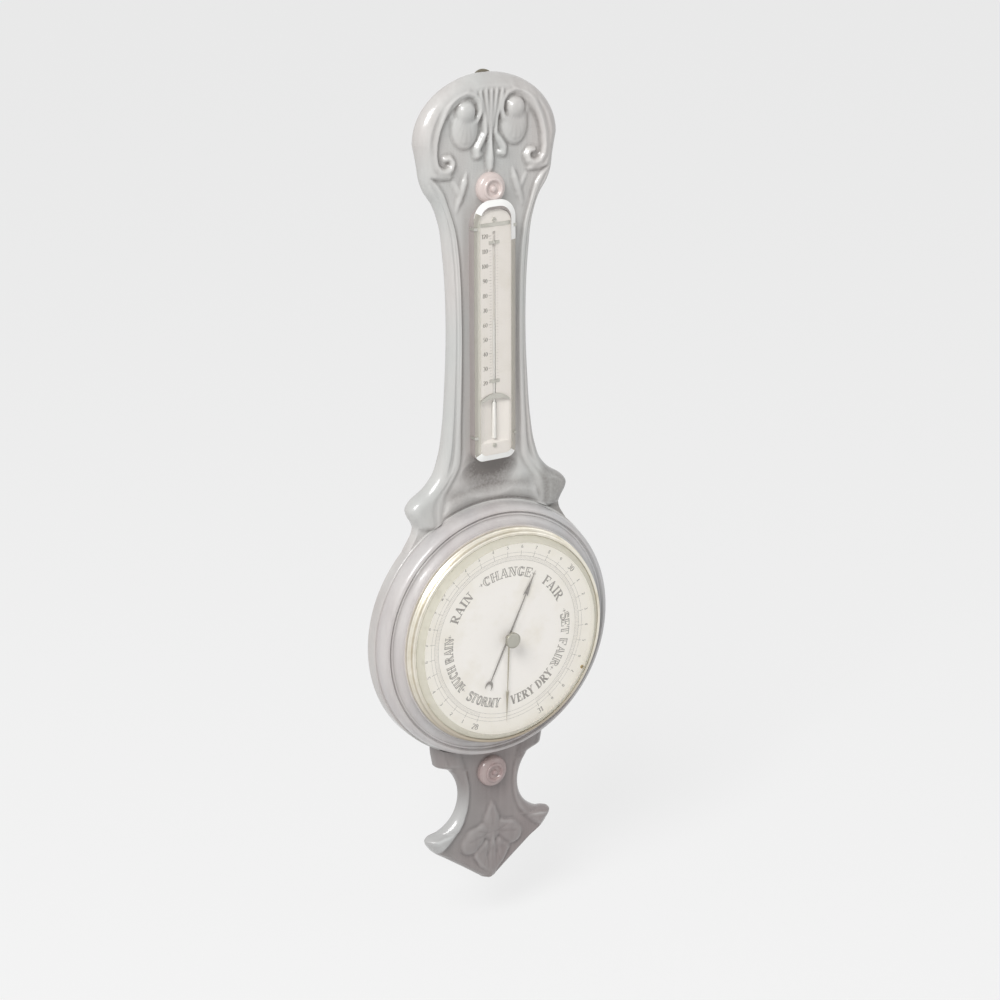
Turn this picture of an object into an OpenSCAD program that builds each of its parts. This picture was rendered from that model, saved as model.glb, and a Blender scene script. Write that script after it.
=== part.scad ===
// Carved banjo-shaped wheel barometer with an aneroid movement and a thermometer on its neck.
// Millimetres. The wall is the plane y = 0, the dial looks towards -y and the hanging hole is the origin.

/* [Case] */
// Height of the hanging hole above the dial centre
hang_height = 511; // [509:0.5:512]
// Outer radius of the round body
body_r = 126.4; // [126:0.1:127]
// Thickness of the round body at the wall
body_t = 12; // [12:0.1:12.2]
// Height of the square part of the outline's edge
edge_h = 3.5; // [2.5:0.1:4.5]
// Level of the sunk ground of the neck and the head
ground_z = 11.8; // [11.6:0.1:11.9]
// Level of the sunk ground of the tail
tail_ground_z = 11; // [10.5:0.1:11.5]

/* [Head] */
// Half width of the head
head_w = 75.2; // [74.8:0.1:75.8]
// Height of the head's top arch
head_h = 58; // [57:0.5:58]
// Height of the head's widest line above the dial centre
head_v = 462; // [462:0.5:462.5]
// Level of the cushion round the head
cushion_z = 15.5; // [15:0.1:16.5]
// Level of the top of the two volutes
volute_z = 21; // [19:0.5:22]

/* [Drum] */
// Radius of the drum's wall where it meets the body
drum_r = 124.6; // [124.2:0.1:124.8]
// Radius of the drum's crest
crest_r = 119.6; // [119:0.1:120.2]
// Distance of the crest from the wall
crest_z = 27; // [26:0.5:27.5]
// Distance of the bezel's seat from the wall
seat_z = 33; // [33:0.1:33.4]

/* [Bezel and dial] */
// Outer radius of the bezel
bezel_r = 105.8; // [105.4:0.1:106.4]
// Radius of the dial plate
dial_r = 100.2; // [99.8:0.1:100.3]
// Distance of the dial's face from the wall
dial_z = 39; // [38.9:0.1:39]
// Radius of the flat face of the bevelled glass
glass_flat_r = 93.7; // [90:0.5:96]
// Distance of the glass's flat face from the wall
glass_z = 47.5; // [46.5:0.5:48]
// Reading of the hand at rest, degrees clockwise from the top
reading_deg = 26; // [-20:1:60]
// Place of the set hand at rest, degrees clockwise from the top
set_deg = 182; // [150:1:210]

/* [Thermometer] */
// Half width of the thermometer box
box_w = 21.7; // [21.4:0.1:22]
// Height of the box's lower edge above the dial centre
box_low = 173.3; // [172.5:0.1:174]
// Height of the box's upper edge above the dial centre
box_high = 404.1; // [403:0.1:404.1]
// Distance of the front of the box's glass from the wall
box_glass_z = 22.3; // [22:0.1:23]
// Height of the liquid's end above the dial centre
liquid_v = 300; // [250:5:360]

/* [Movement] */
// Radius of the vacuum capsule
capsule_r = 29; // [26:0.5:29]
// Pitch radius of the chain's drum on the hand arbor
chain_r = 1.5; // [1.4:0.05:1.6]
// Length of the rocking shaft's upright arm
arm_l = 16; // [15.5:0.1:16]
// Length of the rocking shaft's crank
crank_l = 3; // [2.8:0.1:3.2]

/* [Hidden] */
$fn = 72;
eps = 0.01;

wood = [0.62, 0.58, 0.56];
wood_dark = [0.5, 0.46, 0.45];
boss_wood = [0.66, 0.56, 0.53];
brass = [0.78, 0.7, 0.48];
steel = [0.62, 0.64, 0.67];
blued = [0.16, 0.17, 0.24];
cream = [0.9, 0.88, 0.82];
glass_tint = [0.8, 0.88, 0.88, 0.45];

// Levels, as distances from the wall
dial_seat_z = dial_z - 1;
can_back_z = 3;
plate_z = 4;
plate_top = 6;
capsule_z = 7.2;
capsule_top = 14;
bridge_z = 6.6;
bridge_t = 3;
spring_gap = 0.12;
spring_t = 1.2;
spring_x = -41;
spring_in = 4.4;
spring_z = bridge_z + bridge_t + spring_gap + spring_t + spring_in;
spring_top = spring_z + spring_in + spring_t;
lever_t = 1.2;
shaft_x = 39;
shaft_z = 11;
crank_x = shaft_x - crank_l;
crank_y = 8;
bracket_screw_y = 15.5;
chain_z = shaft_z + arm_l;
low_bar_z = 24;
bar_t = 1.2;
top_bar_z = 31;
top_bar_t = 1.5;
pillar_y = 40;

// Radii of the seats and holes of the case
join_r = body_r + 0.02;
movement_hole_r = 57;
cover_recess_r = 63;
drum_bore_r = 66;
dial_seat_r = 100.5;
flange_z = body_t;

// Running fit of a pivot or spindle, and clearance of a screw in its hole
run = 0.03;
slip = 0.05;

// Case frame: x to the right, y up from the dial centre, z away from the wall
module on_case() {
  translate([0, 0, -hang_height]) rotate([90, 0, 0]) children();
}

// Straight blend and smooth step
function mix(a, b, t) = a + (b - a) * t;
function step(a, b, x) = let (t = min(1, max(0, (x - a) / (b - a)))) t * t * (3 - 2 * t);
// Height of a round-topped ridge or dome at distance d from its middle
function round_top(d, r) = d < r ? sqrt(1 - d * d / (r * r)) : 0;
// Distance of a point from a straight stretch between two points
function stretch_d(p, a, b) = let (
    ab = b - a,
    t = min(1, max(0, ((p - a) * ab) / (ab * ab)))) norm(p - a - t * ab);

// Smooth curve through a few [height, value] stations that run downwards
function rise(s, i) = (s[i + 1][1] - s[i][1]) / (s[i + 1][0] - s[i][0]);
function slope(s, i) = i == 0 ? rise(s, 0)
  : i == len(s) - 1 ? rise(s, i - 1)
  : let (a = s[i - 1][0] - s[i][0], b = s[i][0] - s[i + 1][0]) (b * rise(s, i - 1) + a * rise(s, i)) / (a + b);
function span(s, v, i = 0) = i >= len(s) - 2 || v > s[i + 1][0] ? i : span(s, v, i + 1);
function curve(s, v) = let (
    i = span(s, v),
    h = s[i + 1][0] - s[i][0],
    t = min(1, max(0, (v - s[i][0]) / h)),
    t2 = t * t,
    t3 = t2 * t)
  s[i][1] * (2 * t3 - 3 * t2 + 1) + s[i + 1][1] * (3 * t2 - 2 * t3)
  + h * (slope(s, i) * (t3 - 2 * t2 + t) + slope(s, i + 1) * (t3 - t2));

// Quarter round that falls to the square edge, e being the distance from the outline
function rim(e, width, top) = edge_h + (top - edge_h) * sqrt(1 - pow(1 - min(1, max(0, e) / width), 2));

// Outline of the upper part: half width at a height v above the dial centre
upper_side = [[head_v, head_w], [444, 71.3], [430, 69], [420, 64.6], [408, 55.8], [390, 48.6],
  [360, 43.9], [300, 40.9], [240, 43], [200, 46.4], [174, 51.2], [156, 59], [146, 68.6],
  [138, 81], [131, 86.8], [120, 83.6], [110, 81.5], [90, 81.5]];
function upper_w(v) = v > head_v ? head_w * sqrt(max(0, 1 - pow((v - head_v) / head_h, 2)))
  : curve(upper_side, v);
// Distance from the upper outline
function arch_e(x, v) = let (
    u = (v - head_v) / head_h,
    q = sqrt(pow(x / head_w, 2) + u * u),
    g = sqrt(pow(x / head_w / head_w, 2) + pow(u / head_h, 2)))
  (1 - q) * q / max(g, 0.001);
function side_e(x, v) = (upper_w(v) - x) / sqrt(1 + pow(upper_w(v + 0.5) - upper_w(v - 0.5), 2));
function upper_e(x, v) = v > head_v ? arch_e(x, v) : side_e(x, v);
// Inner edge of the raised border of the neck, the shoulders and the ears
border_in = [[440, 66], [434, 63], [428, 55], [420, 48.5], [410, 44.5], [400, 41], [388, 37],
  [370, 33.5], [340, 31], [300, 30], [240, 30.5], [200, 31.5], [175, 32], [165, 33.5],
  [150, 42], [142, 47.5], [130, 50], [90, 52]];
function border_x(v) = min(curve(border_in, v), upper_w(v) - 4);

// Relief of the neck and the ears: sunk ground, bead, groove and rounded border
bead_z = 14.6;
groove_z = 13;
function apron(r) = r < 129 ? 11.3 : ground_z + 3.2 * round_top(abs(r - 134.5), 5.6);
function scoop(x, v) = 2.4 * pow(max(0, 1 - pow(x / 30, 2) - pow((v - 155) / 15, 2)), 0.7);
function field(x, v) = v > 172 ? ground_z : apron(norm([x, v])) - scoop(x, v);
function neck_border(x, v, t) = t < 0.45 ? ground_z + (bead_z - ground_z) * round_top(abs(t - 0.23), 0.23)
  : t < 0.6 ? groove_z : 14;
function ear_border(t) = ground_z + 3.4 * sqrt(1 - pow(1 - min(1, t / 0.5), 2)) - 0.5 * round_top(abs(t - 0.3), 0.12);
function border(x, v) = let (
    b = border_x(v),
    t = (x - b) / (upper_w(v) - b),
    ear = step(172, 150, v))
  t < 0 ? field(x, v) : mix(neck_border(x, v, t), ear_border(t), ear);

// Relief of the head: cushion, C-scroll with its curl, volute over its cup, leaf fan, lobes and drop
curl = [48, 445];
volute = [24.5, 488.5];
cup = [25, 470];
scroll = [35.5, 462];
function lobe_low(x) = 430 + 11 * pow(max(0, x - 40) / 35, 1.5);
function cushion(x, v) = let (
    outer = v > 452 ? step(0.95, 1.03, norm([x / 57, (v - 452) / 52])) : step(7, 9.5, norm([x, v] - curl)) * step(38, 42, x))
  ground_z + (cushion_z - ground_z) * outer * step(lobe_low(x) - 1.5, lobe_low(x) + 1.5, v);
function c_scroll(x, v) = let (
    p = [x, v] - scroll,
    a = atan2(p[1], p[0]))
  a > -40 && a < 105 ? 17.4 * round_top(abs(norm(p) - 20.5), 3.2) : 0;
function curl_z(x, v) = 17 * round_top(abs(norm([x, v] - curl) - 5.2), 3);
function volute_top(x, v) = let (d = norm([x, v] - volute))
  d < 13.5 ? 15 + (volute_z - 15) * round_top(d, 13.5) - 3 * max(0, 1 - d * d / 60) : 0;
function cup_top(x, v) = let (d = norm([x, v] - cup)) d < 13.5 ? 13 + 4.5 * round_top(d, 13.5) : 0;
function fan(x, v) = let (w = 3 + 11 * step(455, 508, v))
  x < w && v > 458 && v < 508 ? 16 + 0.9 * cos(900 * x / w) - 3 * pow(x / w, 4) : 0;
function side_lobe(x, v) = let (d = stretch_d([x, v], [5, 472], [12.5, 450])) d < 4.6 ? 12 + 5.4 * round_top(d, 4.6) : 0;
function drop(x, v) = let (w = mix(1.6, 4.2, step(434, 466, v))) v > 434.5 && v < 470 && x < w ? 12 + 4.6 * round_top(x, w) : 0;
function head(x, v) = max([cushion(x, v), c_scroll(x, v), curl_z(x, v), volute_top(x, v), cup_top(x, v),
  fan(x, v), side_lobe(x, v), drop(x, v)]);

// Height of the upper relief at a point
function upper_z(px, v) = let (
    x = abs(px),
    lobe = step(428, 442, v),
    ear = step(175, 150, v),
    cap = rim(upper_e(x, v), 7 + 5 * lobe + 2 * ear, 14 + 1.5 * lobe + ear),
    body = v > 434 && (x < 38 || v > lobe_low(x)) ? head(x, v) : border(x, v))
  min(cap, body);

// Outline of the tail: half width at a height v, which is negative
waist = [71.5, -167];
waist_r = 38.5;
wing_top = -203.5;
wing_side = [[-203.5, 59.3], [-205.5, 66], [-208, 70.2], [-212, 70.3], [-218, 67], [-226, 61], [-236, 47.8],
  [-256, 21.2], [-264, 10.6], [-267, 5.6], [-268, 2.6]];
tail_top = [[-90, 66], [-112, 66], [-118, 65.5], [-124, 63.2], [-130, 60.9]];
function tail_w(v) = v > -130 ? curve(tail_top, v)
  : v > wing_top ? waist[0] - sqrt(waist_r * waist_r - pow(v - waist[1], 2))
  : curve(wing_side, v);
function tail_e(x, v) = (tail_w(v) - x) / sqrt(1 + pow(min(3, abs(tail_w(v + 0.5) - tail_w(v - 0.5))), 2));
// Inner edge of the tail's raised border
tail_border = [[-90, 40], [-120, 36], [-135, 30], [-150, 26], [-170, 25], [-187, 28], [-200, 34],
  [-212, 45], [-222, 58], [-268, 60]];
function tail_in(v) = min(curve(tail_border, v), tail_w(v) - 1.5);
// Relief of the tail: rounded border and wings, three-lobed leaf on its stems
function leaf(x, v) = max([
    tail_ground_z + 2.8 * round_top(stretch_d([x, v], [0, -183], [0, -206]), 11),
    tail_ground_z + 3.6 * round_top(norm([x - 22, v + 218]), 15.5),
    tail_ground_z + 2.6 * round_top(stretch_d([x, v], [12, -238], [2, -250]), 9),
    v < -204 && v > -250 ? tail_ground_z + 3.4 * round_top(x, 5) : 0]);
function tail_z(px, v) = let (
    x = abs(px),
    b = tail_in(v),
    t = (x - b) / (tail_w(v) - b),
    wing = step(-190, -202, v) * step(-232, -222, v),
    top = 13.4 + 1.8 * wing,
    flat = norm([x, v]) < 129 ? 11.3 : tail_ground_z,
    cap = rim(tail_e(x, v), 9, top),
    body = t < 0 ? flat : flat + (top - flat) * sqrt(1 - pow(1 - min(1, t / 0.4), 2)))
  min(cap, max(body, v < -170 ? leaf(x, v) : 0));

// Relief as one closed solid: rows of points across the outline, from its near to its far end.
// The sides and the two ends are upright, and the flat back has few points between its first and last row.
back_picks = 6;
module relief(rows) {
  n = len(rows);
  m = len(rows[0]);
  picks = [for (k = [0 : back_picks]) round(k * (m - 1) / back_picks)];
  top = [for (r = rows) for (p = r) p];
  ends = [for (i = [0, n - 1]) for (p = rows[i]) [p[0], p[1], 0]];
  back = [for (i = [1 : n - 2]) for (k = picks) [rows[i][k][0], rows[i][k][1], 0]];
  function t(i, j) = i * m + j;
  function near(j) = n * m + j;
  function far(j) = n * m + m + j;
  function low(i, k) = i == 0 ? near(picks[k])
    : i == n - 1 ? far(picks[k])
    : n * m + 2 * m + (i - 1) * (back_picks + 1) + k;
  faces = concat(
    [for (i = [0 : n - 2]) for (j = [0 : m - 2]) [t(i, j), t(i + 1, j), t(i + 1, j + 1)]],
    [for (i = [0 : n - 2]) for (j = [0 : m - 2]) [t(i, j), t(i + 1, j + 1), t(i, j + 1)]],
    [for (i = [0 : n - 2]) [low(i, 0), low(i + 1, 0), t(i + 1, 0), t(i, 0)]],
    [for (i = [0 : n - 2]) [low(i + 1, back_picks), low(i, back_picks), t(i, m - 1), t(i + 1, m - 1)]],
    [for (j = [0 : m - 2]) [near(j), t(0, j), t(0, j + 1), near(j + 1)]],
    [for (j = [0 : m - 2]) [far(j + 1), t(n - 1, j + 1), t(n - 1, j), far(j)]],
    [for (k = [0 : back_picks - 1]) for (j = [picks[k] : picks[k + 1] - 1]) [low(1, k), near(j), near(j + 1)]],
    [for (k = [0 : back_picks - 1]) [low(1, k), low(0, k + 1), low(1, k + 1)]],
    [for (i = [1 : n - 3]) for (k = [0 : back_picks - 1]) [low(i, k), low(i, k + 1), low(i + 1, k + 1)]],
    [for (i = [1 : n - 3]) for (k = [0 : back_picks - 1]) [low(i, k), low(i + 1, k + 1), low(i + 1, k)]],
    [for (k = [0 : back_picks - 1]) for (j = [picks[k] : picks[k + 1] - 1]) [low(n - 2, k), far(j + 1), far(j)]],
    [for (k = [0 : back_picks - 1]) [low(n - 2, k), low(n - 2, k + 1), low(n - 1, k + 1)]]);
  polyhedron(concat(top, ends, back), faces, convexity = 6);
}

// How far the middle of a row bends towards the round body, at a share s of the half width
function bend(s, w) = (sqrt(join_r * join_r - s * s * w * w) - sqrt(join_r * join_r - w * w))
  / (join_r - sqrt(join_r * join_r - w * w));

// Columns: even in the sunk field, closer in the border, evenly spread in the head
field_columns = 13;
border_shares = [0.04, 0.12, 0.23, 0.34, 0.45, 0.53, 0.62, 0.72, 0.82, 0.9, 0.96, 1];
half_columns = field_columns + len(border_shares);
function neck_x(j, v) = let (b = border_x(v))
  j <= field_columns ? b * j / field_columns : mix(b, upper_w(v), border_shares[j - field_columns - 1]);
function head_x(j, v) = upper_w(v) * (1 - pow(1 - j / half_columns, 1.2));
function upper_x(j, v) = sign(j) * mix(neck_x(abs(j), v), head_x(abs(j), v), step(404, 436, v));
ear_w = upper_w(sqrt(join_r * join_r - 81.5 * 81.5));
ear_low = sqrt(join_r * join_r - ear_w * ear_w);
ear_top = 172;
function upper_mid(v) = v > ear_top ? v : mix(join_r, ear_top, (v - ear_low) / (ear_top - ear_low));
function upper_point(j, v) = let (
    x = upper_x(j, v),
    pv = v > ear_top ? v : v + (upper_mid(v) - v) * bend(abs(x) / upper_w(v), ear_w))
  [x, pv, upper_z(x, pv)];
ear_rows = 15;
neck_rows = 12;
shoulder_rows = 12;
arch_rows = 17;
neck_top = 404;
neck_heights = concat(
  [for (i = [0 : ear_rows - 1]) mix(ear_low, ear_top, i / ear_rows)],
  [for (i = [0 : neck_rows]) mix(ear_top, neck_top, i / neck_rows)]);
head_heights = concat(
  [for (i = [0 : shoulder_rows - 1]) mix(neck_top, head_v, i / shoulder_rows)],
  [for (i = [0 : arch_rows]) head_v + head_h * sin(87 * i / arch_rows)]);

tail_low = sqrt(join_r * join_r - 66 * 66);
tail_bend_end = 150;
function tail_mid(u) = u > tail_bend_end ? u : mix(join_r, tail_bend_end, (u - tail_low) / (tail_bend_end - tail_low));
function tail_point(j, u) = let (
    x = sign(j) * tail_w(-u) * (1 - pow(1 - abs(j) / tail_columns, 1.25)),
    pu = u > tail_bend_end ? u : u + (tail_mid(u) - u) * bend(abs(x) / tail_w(-u), 66))
  [x, -pu, tail_z(x, -pu)];
tail_columns = 17;
tail_bend_rows = 9;
tail_rows = concat(
  [for (i = [0 : tail_bend_rows - 1]) mix(tail_low, tail_bend_end, i / tail_bend_rows)],
  [for (i = [0 : 8]) mix(tail_bend_end, 203.5, i / 9)],
  [203.5, 205, 206.5, 208, 211, 215],
  [for (i = [0 : 7]) mix(220, 262, i / 8)],
  [262, 265.5, 267.7]);

// Screw with a countersunk head flush at the origin, its shank going along +z
module sunk_screw(head_r, shank_r, length) {
  difference() {
    union() {
      cylinder(r1 = head_r, r2 = shank_r, h = head_r - shank_r);
      cylinder(r = shank_r, h = length);
    }
    translate([-head_r, -0.25, -eps]) cube([2 * head_r, 0.5, 0.5]);
  }
}
// Screw with a round head that stands on the plane z = 0, its shank going along -z
module cheese_screw(head_r, head_t, shank_r, length) {
  difference() {
    union() {
      cylinder(r = head_r, h = head_t);
      translate([0, 0, -length]) cylinder(r = shank_r, h = length);
    }
    translate([-head_r, -0.2, head_t - 0.4]) cube([2 * head_r, 0.4, 0.5]);
  }
}
// Hole for a countersunk screw, in the same place as the screw
module sunk_hole(head_r, shank_r, length) {
  translate([0, 0, -eps]) cylinder(r = shank_r + slip, h = length);
  translate([0, 0, -eps]) cylinder(r1 = head_r + slip, r2 = shank_r + slip, h = head_r - shank_r);
}

// Places of the fastenings in the case frame
boss_high = 418.7;
boss_low = -147.8;
dowel_r = 3;
box_screw_places = [for (x = [-1, 1]) for (v = [196, 380]) [x * (box_w - 1.6), v]];
scale_screw_places = [[0, 391.5], [0, 182]];
hanger_screw_places = [[-7, 486], [7, 486], [0, 474]];
module ring_of(n, r, start = 0) {
  for (i = [0 : n - 1]) rotate([0, 0, start + 360 * i / n]) translate([r, 0, 0]) children();
}

hanger_t = 2;
hanger_r = 11;
hanger_low = 466;
hanger_hole_r = 4;
module hanger_shape(grow = 0) {
  translate([0, hang_height]) circle(r = hanger_r + grow);
  translate([-hanger_r - grow, hanger_low - grow]) square([2 * (hanger_r + grow), hang_height - hanger_low + grow]);
}

// Carved board of the head
module head_board() {
  color(wood) on_case() difference() {
    relief([for (v = head_heights) [for (j = [-half_columns : half_columns]) upper_point(j, v)]]);
    translate([0, boss_high, 5]) cylinder(r = dowel_r + slip, h = 10);
    translate([0, 0, -1]) linear_extrude(1 + hanger_t) hanger_shape(0.3);
    translate([0, hang_height - 1, -1]) cylinder(r = 7, h = 8);
    for (p = hanger_screw_places) translate([p[0], p[1], 0]) cylinder(r = 1.3 + slip, h = 10);
  }
}
// Carved board of the neck and the ears, whose foot bends round the body
module neck_board() {
  color(wood) on_case() difference() {
    relief([for (v = neck_heights) [for (j = [-half_columns : half_columns]) upper_point(j, v)]]);
    for (p = box_screw_places) translate([p[0], p[1], 0]) sunk_hole(2.6, 1.1, body_t + 1);
    for (p = scale_screw_places) translate([p[0], p[1], 5]) cylinder(r = 0.9 + slip, h = 10);
  }
}
// Round body between the two boards, with the movement's hole and the rear cover's recess
module round_body() {
  color(wood) on_case() difference() {
    rotate_extrude() polygon(concat([[0, 0], [body_r, 0]],
      [for (a = [0 : 15 : 90]) [body_r - 1.2 + 1.2 * cos(a), body_t - 1.2 + 1.2 * sin(a)]], [[0, body_t]]));
    translate([0, 0, -1]) cylinder(r = movement_hole_r, h = body_t + 2);
    translate([0, 0, -1]) cylinder(r = cover_recess_r, h = 3);
    ring_of(6, 96, 30) sunk_hole(4.2, 2, body_t + 1);
    ring_of(4, 60, 45) translate([0, 0, 1]) cylinder(r = 1.2 + slip, h = 8.5);
    ring_of(4, 61.5) translate([0, 0, 5]) cylinder(r = 1.3 + slip, h = body_t);
  }
}
// Carved board of the tail
module tail_board() {
  color(wood) on_case() difference() {
    relief([for (u = tail_rows) [for (j = [tail_columns : -1 : -tail_columns]) tail_point(j, u)]]);
    translate([0, boss_low, 5]) cylinder(r = dowel_r + slip, h = 10);
  }
}

// Turned drum: bellied wall, crest, groove and bead, hollow up to the bezel's seat, seat of the dial
module drum_ring() {
  belly = [for (a = [0 : 10 : 90]) [crest_r + (drum_r - crest_r) * cos(a), body_t + 3 + (crest_z - body_t - 3) * sin(a)]];
  bead = [for (a = [0 : 30 : 180]) [115.4 + 1.1 * cos(a), crest_z - 2 + 1.1 * sin(a)]];
  hollow = [for (a = [0 : 15 : 90]) [107.2 + 6.6 * (1 - sin(a)), seat_z - 8 * cos(a)]];
  color(wood) on_case() difference() {
    rotate_extrude() polygon(concat([[drum_bore_r, body_t], [drum_r, body_t]], belly,
      [[118.4, crest_z], [117, crest_z - 2.6]], bead, hollow,
      [[dial_seat_r, seat_z], [dial_seat_r, dial_seat_z], [drum_bore_r, dial_seat_z]]));
    ring_of(6, 96, 30) translate([0, 0, body_t - 1]) cylinder(r = 2 + slip, h = 15);
    ring_of(3, 97, 90) translate([0, 0, 30]) cylinder(r = 1 + slip, h = 10);
  }
}
module drum_screws() {
  color(steel) on_case() ring_of(6, 96, 30) sunk_screw(4.2, 2, 25);
}

// Turned rosettes: domed edge, ring, hollow and button
module rosette(r, base_z, top_z, ring_r, button_r) {
  ring = [for (a = [0 : 30 : 180]) [ring_r + 1.6 * cos(a), top_z - 2 + 1.6 * sin(a)]];
  dome = [for (a = [0 : 15 : 75]) [ring_r + 2.4 + (r - ring_r - 2.4) * cos(a), base_z + 1.5 + (top_z - base_z - 4.2) * sin(a)]];
  button = [for (a = [0 : 15 : 90]) [button_r * cos(a), top_z - button_r * 0.7 * (1 - sin(a))]];
  rotate_extrude() polygon(concat([[0, base_z], [r, base_z]], dome, ring,
    [[ring_r - 2.4, top_z - 3], [button_r + 0.6, top_z - 3]], button));
  translate([0, 0, 6]) cylinder(r = dowel_r, h = base_z - 6 + eps);
}
module top_boss() {
  color(boss_wood) on_case() translate([0, boss_high, 0]) rosette(14.4, ground_z, 20.5, 8.6, 3);
}
module bottom_boss() {
  color(boss_wood) on_case() translate([0, boss_low, 0]) rosette(15.5, tail_ground_z, 20, 8.5, 2.6);
}

module hanger_plate() {
  color(brass) on_case() difference() {
    linear_extrude(hanger_t) hanger_shape();
    translate([0, hang_height, -1]) cylinder(r = hanger_hole_r, h = hanger_t + 2);
    for (p = hanger_screw_places) translate([p[0], p[1], 0]) sunk_hole(2.6, 1.3, 4);
  }
}
module hanger_screws() {
  color(steel) on_case() for (p = hanger_screw_places) translate([p[0], p[1], 0]) sunk_screw(2.6, 1.3, 9);
}

cover_t = 1.4;
cover_z = 2 - cover_t;
adjust_x = -38;
module rear_cover() {
  color(brass) on_case() translate([0, 0, cover_z]) difference() {
    cylinder(r = cover_recess_r - 0.5, h = cover_t);
    translate([adjust_x, 0, -1]) cylinder(r = 4, h = cover_t + 2);
    ring_of(4, 60, 45) sunk_hole(2.2, 1.2, 3);
  }
}
module rear_cover_screws() {
  color(steel) on_case() translate([0, 0, cover_z]) ring_of(4, 60, 45) sunk_screw(2.2, 1.2, 7.5);
}

// Upright plate with rounded corners, lower and upper radii apart, made smaller by inset
module box_shape(inset) {
  w = box_w - inset;
  low = box_low + inset;
  high = box_high - inset;
  r_low = 9 - inset * 0.6;
  r_high = 17 - inset * 0.9;
  translate([-w, low + r_low]) square([2 * w, high - low - r_low - r_high]);
  translate([-w + r_low, low]) square([2 * (w - r_low), r_low + 1]);
  translate([-w + r_high, high - r_high - 1]) square([2 * (w - r_high), r_high + 1]);
  for (s = [-1, 1]) translate([s * (w - r_low), low + r_low]) circle(r = r_low);
  for (s = [-1, 1]) translate([s * (w - r_high), high - r_high]) circle(r = r_high);
}
wall_t = 3.2;
box_top_z = 18.3;
module thermometer_box() {
  color(wood_dark) on_case() difference() {
    translate([0, 0, ground_z]) linear_extrude(box_top_z - ground_z) box_shape(0);
    translate([0, 0, ground_z - 1]) linear_extrude(box_top_z) box_shape(wall_t);
    for (p = box_screw_places) translate([p[0], p[1], ground_z - 1]) cylinder(r = 1.1 + slip, h = 6);
  }
}
module box_screws() {
  color(steel) on_case() for (p = box_screw_places) translate([p[0], p[1], 0]) sunk_screw(2.6, 1.1, 16);
}

scale_t = 1;
scale_z = ground_z + scale_t;
module thermometer_scale() {
  color(cream) on_case() difference() {
    translate([0, 0, ground_z]) linear_extrude(scale_t) box_shape(wall_t + 0.3);
    for (p = scale_screw_places) translate([p[0], p[1], ground_z - 1]) cylinder(r = 0.9 + slip, h = 4);
  }
}
module scale_screws() {
  color(brass) on_case() for (p = scale_screw_places) translate([p[0], p[1], scale_z]) cheese_screw(2.1, 0.9, 0.9, 6.5);
}

// Glass tube with its long bulb, and the liquid inside
tube_z = 15.05;
tube_r = 1.5;
bulb_r = 2.2;
bulb_low = 197;
bulb_high = 213;
tube_high = 379;
tube_bore_r = 0.55;
module along_tube(v, length, r) {
  translate([0, v, tube_z]) rotate([-90, 0, 0]) cylinder(r = r, h = length);
}
module tube_ball(v, r) {
  translate([0, v, tube_z]) sphere(r = r);
}
module thermometer_tube() {
  color(glass_tint) on_case() difference() {
    union() {
      along_tube(bulb_low, bulb_high - bulb_low, bulb_r);
      tube_ball(bulb_low, bulb_r);
      tube_ball(bulb_high, bulb_r);
      along_tube(bulb_high, tube_high - bulb_high, tube_r);
      tube_ball(tube_high, tube_r);
    }
    along_tube(bulb_low, bulb_high - bulb_low, bulb_r - 0.5);
    tube_ball(bulb_low, bulb_r - 0.5);
    along_tube(bulb_high - 1, tube_high - bulb_high, tube_bore_r);
  }
}
module thermometer_liquid() {
  color([0.45, 0.45, 0.5]) on_case() union() {
    along_tube(bulb_low, bulb_high - bulb_low - 0.2, bulb_r - 0.55);
    along_tube(bulb_high - 1, liquid_v - bulb_high + 1, tube_bore_r - 0.05);
  }
}
module tube_clips() {
  color(brass) on_case() for (v = [241, 371]) difference() {
    union() {
      along_tube(v - 1.5, 3, tube_r + 0.5);
      translate([-5.5, v - 1.5, scale_z]) cube([11, 3, 0.5]);
      translate([-tube_r - 0.5, v - 1.5, scale_z]) cube([2 * tube_r + 1, 3, tube_z - scale_z]);
    }
    along_tube(v - 2, 4, tube_r + slip);
    translate([-tube_r - slip, v - 2, scale_z - 1]) cube([2 * (tube_r + slip), 4, tube_z - scale_z + 1]);
  }
}
// Bowed guard with an arched top in front of the bulb
guard_w = 13;
guard_low = 190;
guard_arch = 215;
guard_bow = 5.1;
module bulb_guard() {
  out_r = (guard_w * guard_w + guard_bow * guard_bow) / (2 * guard_bow);
  color(cream) on_case() intersection() {
    translate([0, guard_low, scale_z + guard_bow - out_r]) rotate([-90, 0, 0]) difference() {
      cylinder(r = out_r, h = 60);
      translate([0, 0, -1]) cylinder(r = out_r - 0.55, h = 62);
    }
    translate([0, 0, scale_z]) linear_extrude(10) union() {
      translate([-guard_w + 0.6, guard_low]) square([2 * guard_w - 1.2, guard_arch - guard_low]);
      translate([0, guard_arch]) circle(r = guard_w - 0.6);
    }
  }
}

// Bevelled glass of the thermometer box
bevel_w = 5.5;
bevel_edge_z = 19.5;
module thermometer_glass() {
  color(glass_tint) on_case() hull() {
    translate([0, 0, box_top_z]) linear_extrude(bevel_edge_z - box_top_z) box_shape(0, $fn = 32);
    translate([0, 0, box_glass_z - 0.1]) linear_extrude(0.1) box_shape(bevel_w, $fn = 32);
  }
}
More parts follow.
